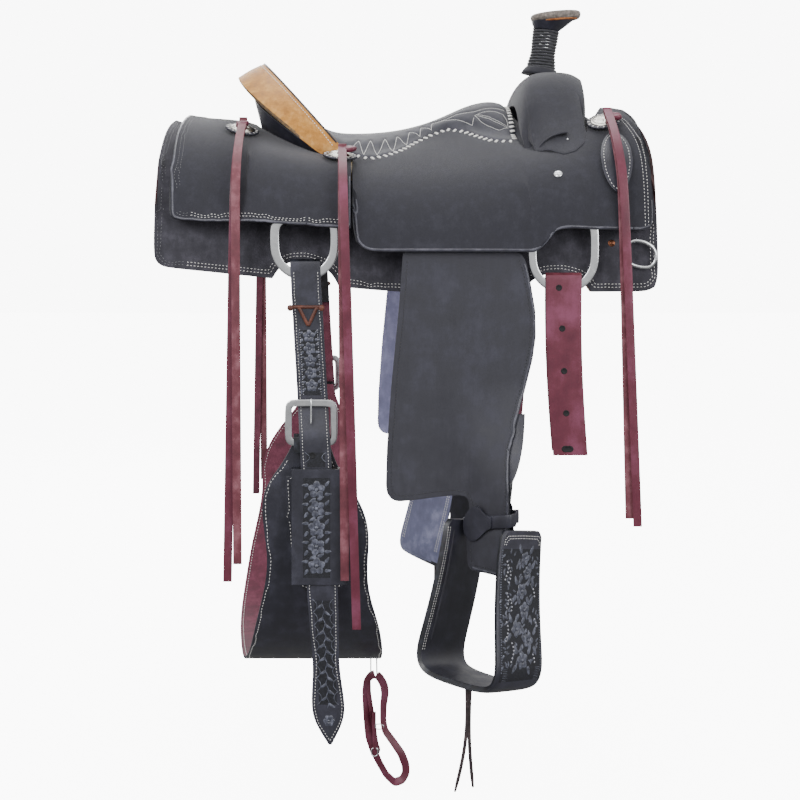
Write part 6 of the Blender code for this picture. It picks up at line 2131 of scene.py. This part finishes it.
WIRE = 5.0 * MM
DEE_LOOP = [
    (0.3085, -0.1130), (0.317, -0.1085), (0.330, -0.1105), (0.342, -0.1170), (0.3475, -0.1270),
    (0.3460, -0.1390), (0.339, -0.1460), (0.329, -0.1465), (0.316, -0.1435), (0.3085, -0.1390),
]
for word, side in SIDES:
    node = f"breast_dee_{word}"
    bpy.data.objects.remove(SKINS[node]["obj"])
    loop = softened(along_line([(x, side * 0.2690, z) for x, z in DEE_LOOP], 1.5 * MM, closed=True), 10, True)
    bm = bmesh.new()
    swept(bm, loop, WIRE, WIRE, to_the_right, closed=True)
    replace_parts(laid(f"{node}_wire", bm, STEEL, node), node)
print("breast collar dees drawn as wire")

# %% Connector strap
HANG_Y = -0.150
CONNECTOR_AT = (-0.0847, -0.6988)
CONNECTOR_STEP = 0.00014985


def hung(a, b):
    """A place on the strap's line, from its drawing at ten steps to the pixel."""
    return Vector((CONNECTOR_AT[0] + a * CONNECTOR_STEP, HANG_Y, CONNECTOR_AT[1] - b * CONNECTOR_STEP))


OUTER_RUN = [
    (300, 335), (262, 345), (222, 400), (208, 500), (214, 650), (228, 800), (248, 950), (290, 1085),
    (345, 1200),
    (410, 1315), (495, 1395), (570, 1370), (607, 1300), (603, 1220), (560, 1110),
    (480, 995), (400, 885), (383, 780),
    (386, 640), (402, 520), (392, 440), (350, 365), (318, 340),
]
INNER_RUN = [
    (240, 410), (242, 520), (262, 660), (288, 800), (300, 930), (318, 1040), (340, 1090), (318, 1110),
]
KEEPER_RUN = [(292, 700), (292, 850), (300, 1000), (306, 1060)]
HANG_WIRES = (((262, 140), (262, 330)), ((318, 140), (322, 345)))
SMALL_BUCKLE = [(268, 1060), (268, 1120), (300, 1135), (330, 1120), (330, 1060), (300, 1048)]
SMALL_RING = [(310, 820), (370, 815), (392, 845), (368, 868), (320, 868), (300, 845)]
strap = [hung(*p) for p in OUTER_RUN]
strap = softened(along_line(strap, 1.5 * MM), 6, False)
bm = bmesh.new()
swept(bm, strap, 12.0 * MM, 2.2 * MM, lambda t: Vector((math.sin(9.4 * t + 0.5), -1.15, 0.35)), sides=14)
for run, depth, width in ((INNER_RUN, 2.6, 8.5), (KEEPER_RUN, -2.8, 7.5)):
    line = softened(along_line([hung(*p) + Vector((0, depth * MM, 0)) for p in run], 1.5 * MM), 5, False)
    swept(bm, line, width * MM, 1.8 * MM, lambda t: Vector((0.75, -1.0, 0.0)))
bpy.data.objects.remove(SKINS["connector_strap"]["obj"])
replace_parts(laid("connector_strap_run", bm, BURGUNDY, "connector_strap"), "connector_strap")
bm = bmesh.new()
for top, foot in HANG_WIRES:
    swept(bm, along_line([hung(*top), hung(*foot)], 2 * MM), 2.0 * MM, 2.0 * MM, to_the_right, sides=8)
for loop, wire in ((SMALL_BUCKLE, 2.0), (SMALL_RING, 1.5)):
    line = along_line([hung(*p) + Vector((0, -2.4 * MM, 0)) for p in loop], 1.0 * MM, closed=True)
    swept(bm, softened(line, 3, True), wire * MM, wire * MM, to_the_right, sides=8, closed=True)
laid("connector_strap_wires", bm, STEEL, "connector_strap")
print("connector drawn")

# %% [markdown]
# ## Rolled edges and the front rows
# The jockeys' lower edges and the fender's front edge are creased and rubbed until they are round and
# shine a little. Each is a low bead along the edge, in a smoother finish than the nap beside it, and
# painted lighter as painted highlight. Two rows of white thread follow the front edge of the front jockey.

# %% Beads along the edges
# The bead's lighter grey is painted highlight on a real rounded edge; its lower roughness is its own.
ROLLED_EDGE = leather(
    "rolled_edge_painted_highlight", "#292930", "#3f3f4a", "#63636f", 24.0, 0.6, 0.08, 0.38, 0.10, 0.2,
    Specular_IOR_Level=0.6,
)

BEAD_HALF_MM = 1.7


def edge_bead(node, inset_mm, rise_mm, keep, name):
    """A low bead along the edge of a hide."""
    bm = bmesh.new()
    for row in runs(inside_edge(node, inset_mm, rounds=8), keep):
        if len(row) > 8:
            strip(bm, row, BEAD_HALF_MM, rise_mm)
    bmesh.ops.recalc_face_normals(bm, faces=bm.faces)
    laid(name, bm, ROLLED_EDGE, node)


for word, side in SIDES:
    edge_bead(
        f"rear_jockey_{word}", 2.6, 0.8, lambda p: p.z < -0.02 or p.x < -0.30,
        f"rear_jockey_{word}_bead",
    )
    edge_bead(f"fender_{word}", 2.8, 0.6, lambda p: p.z < -0.14 and p.x > 0.09, f"fender_{word}_front_bead")
edge_bead("seat_and_jockeys", 2.6, 0.8, lambda p: p.z < -0.052 and abs(p.y) > 0.2, "jockey_bead")

FRONT_ROW = [
    (0.3201, 0.1522, 0.0720), (0.3279, 0.1715, 0.0650), (0.3355, 0.2053, 0.0486), (0.3405, 0.2290, 0.0275),
    (0.3417, 0.2497, 0.0029), (0.3417, 0.2628, -0.0253), (0.3414, 0.2703, -0.0655), (0.3410, 0.2680, -0.0930),
]
for word, side in SIDES:
    bm = bmesh.new()
    for inset in (5.0, 9.5):
        line = along_line([(x - inset * MM, side * y, z + 0.2 * inset * MM) for x, y, z in FRONT_ROW], 3 * MM)
        row = []
        for p in softened(line, 4, False):
            way = Vector((0.12, side * 0.72, 0.68)) if p.z > 0.02 else Vector((0.05, side * 0.95, 0.3))
            hit, normal, _, _ = SKINS["seat_and_jockeys"]["tree"].ray_cast(p + way * 0.03, -way, 0.06)
            if hit is not None:
                row.append((hit, normal if normal.dot(way) > 0 else -normal))
        sew(bm, row, pitch_mm=4.9, length_mm=2.9, radius_mm=0.5)
    laid(f"front_jockey_{word}_stitching", bm, THREAD, "seat_and_jockeys")
print("edges rubbed, front rows sewn")
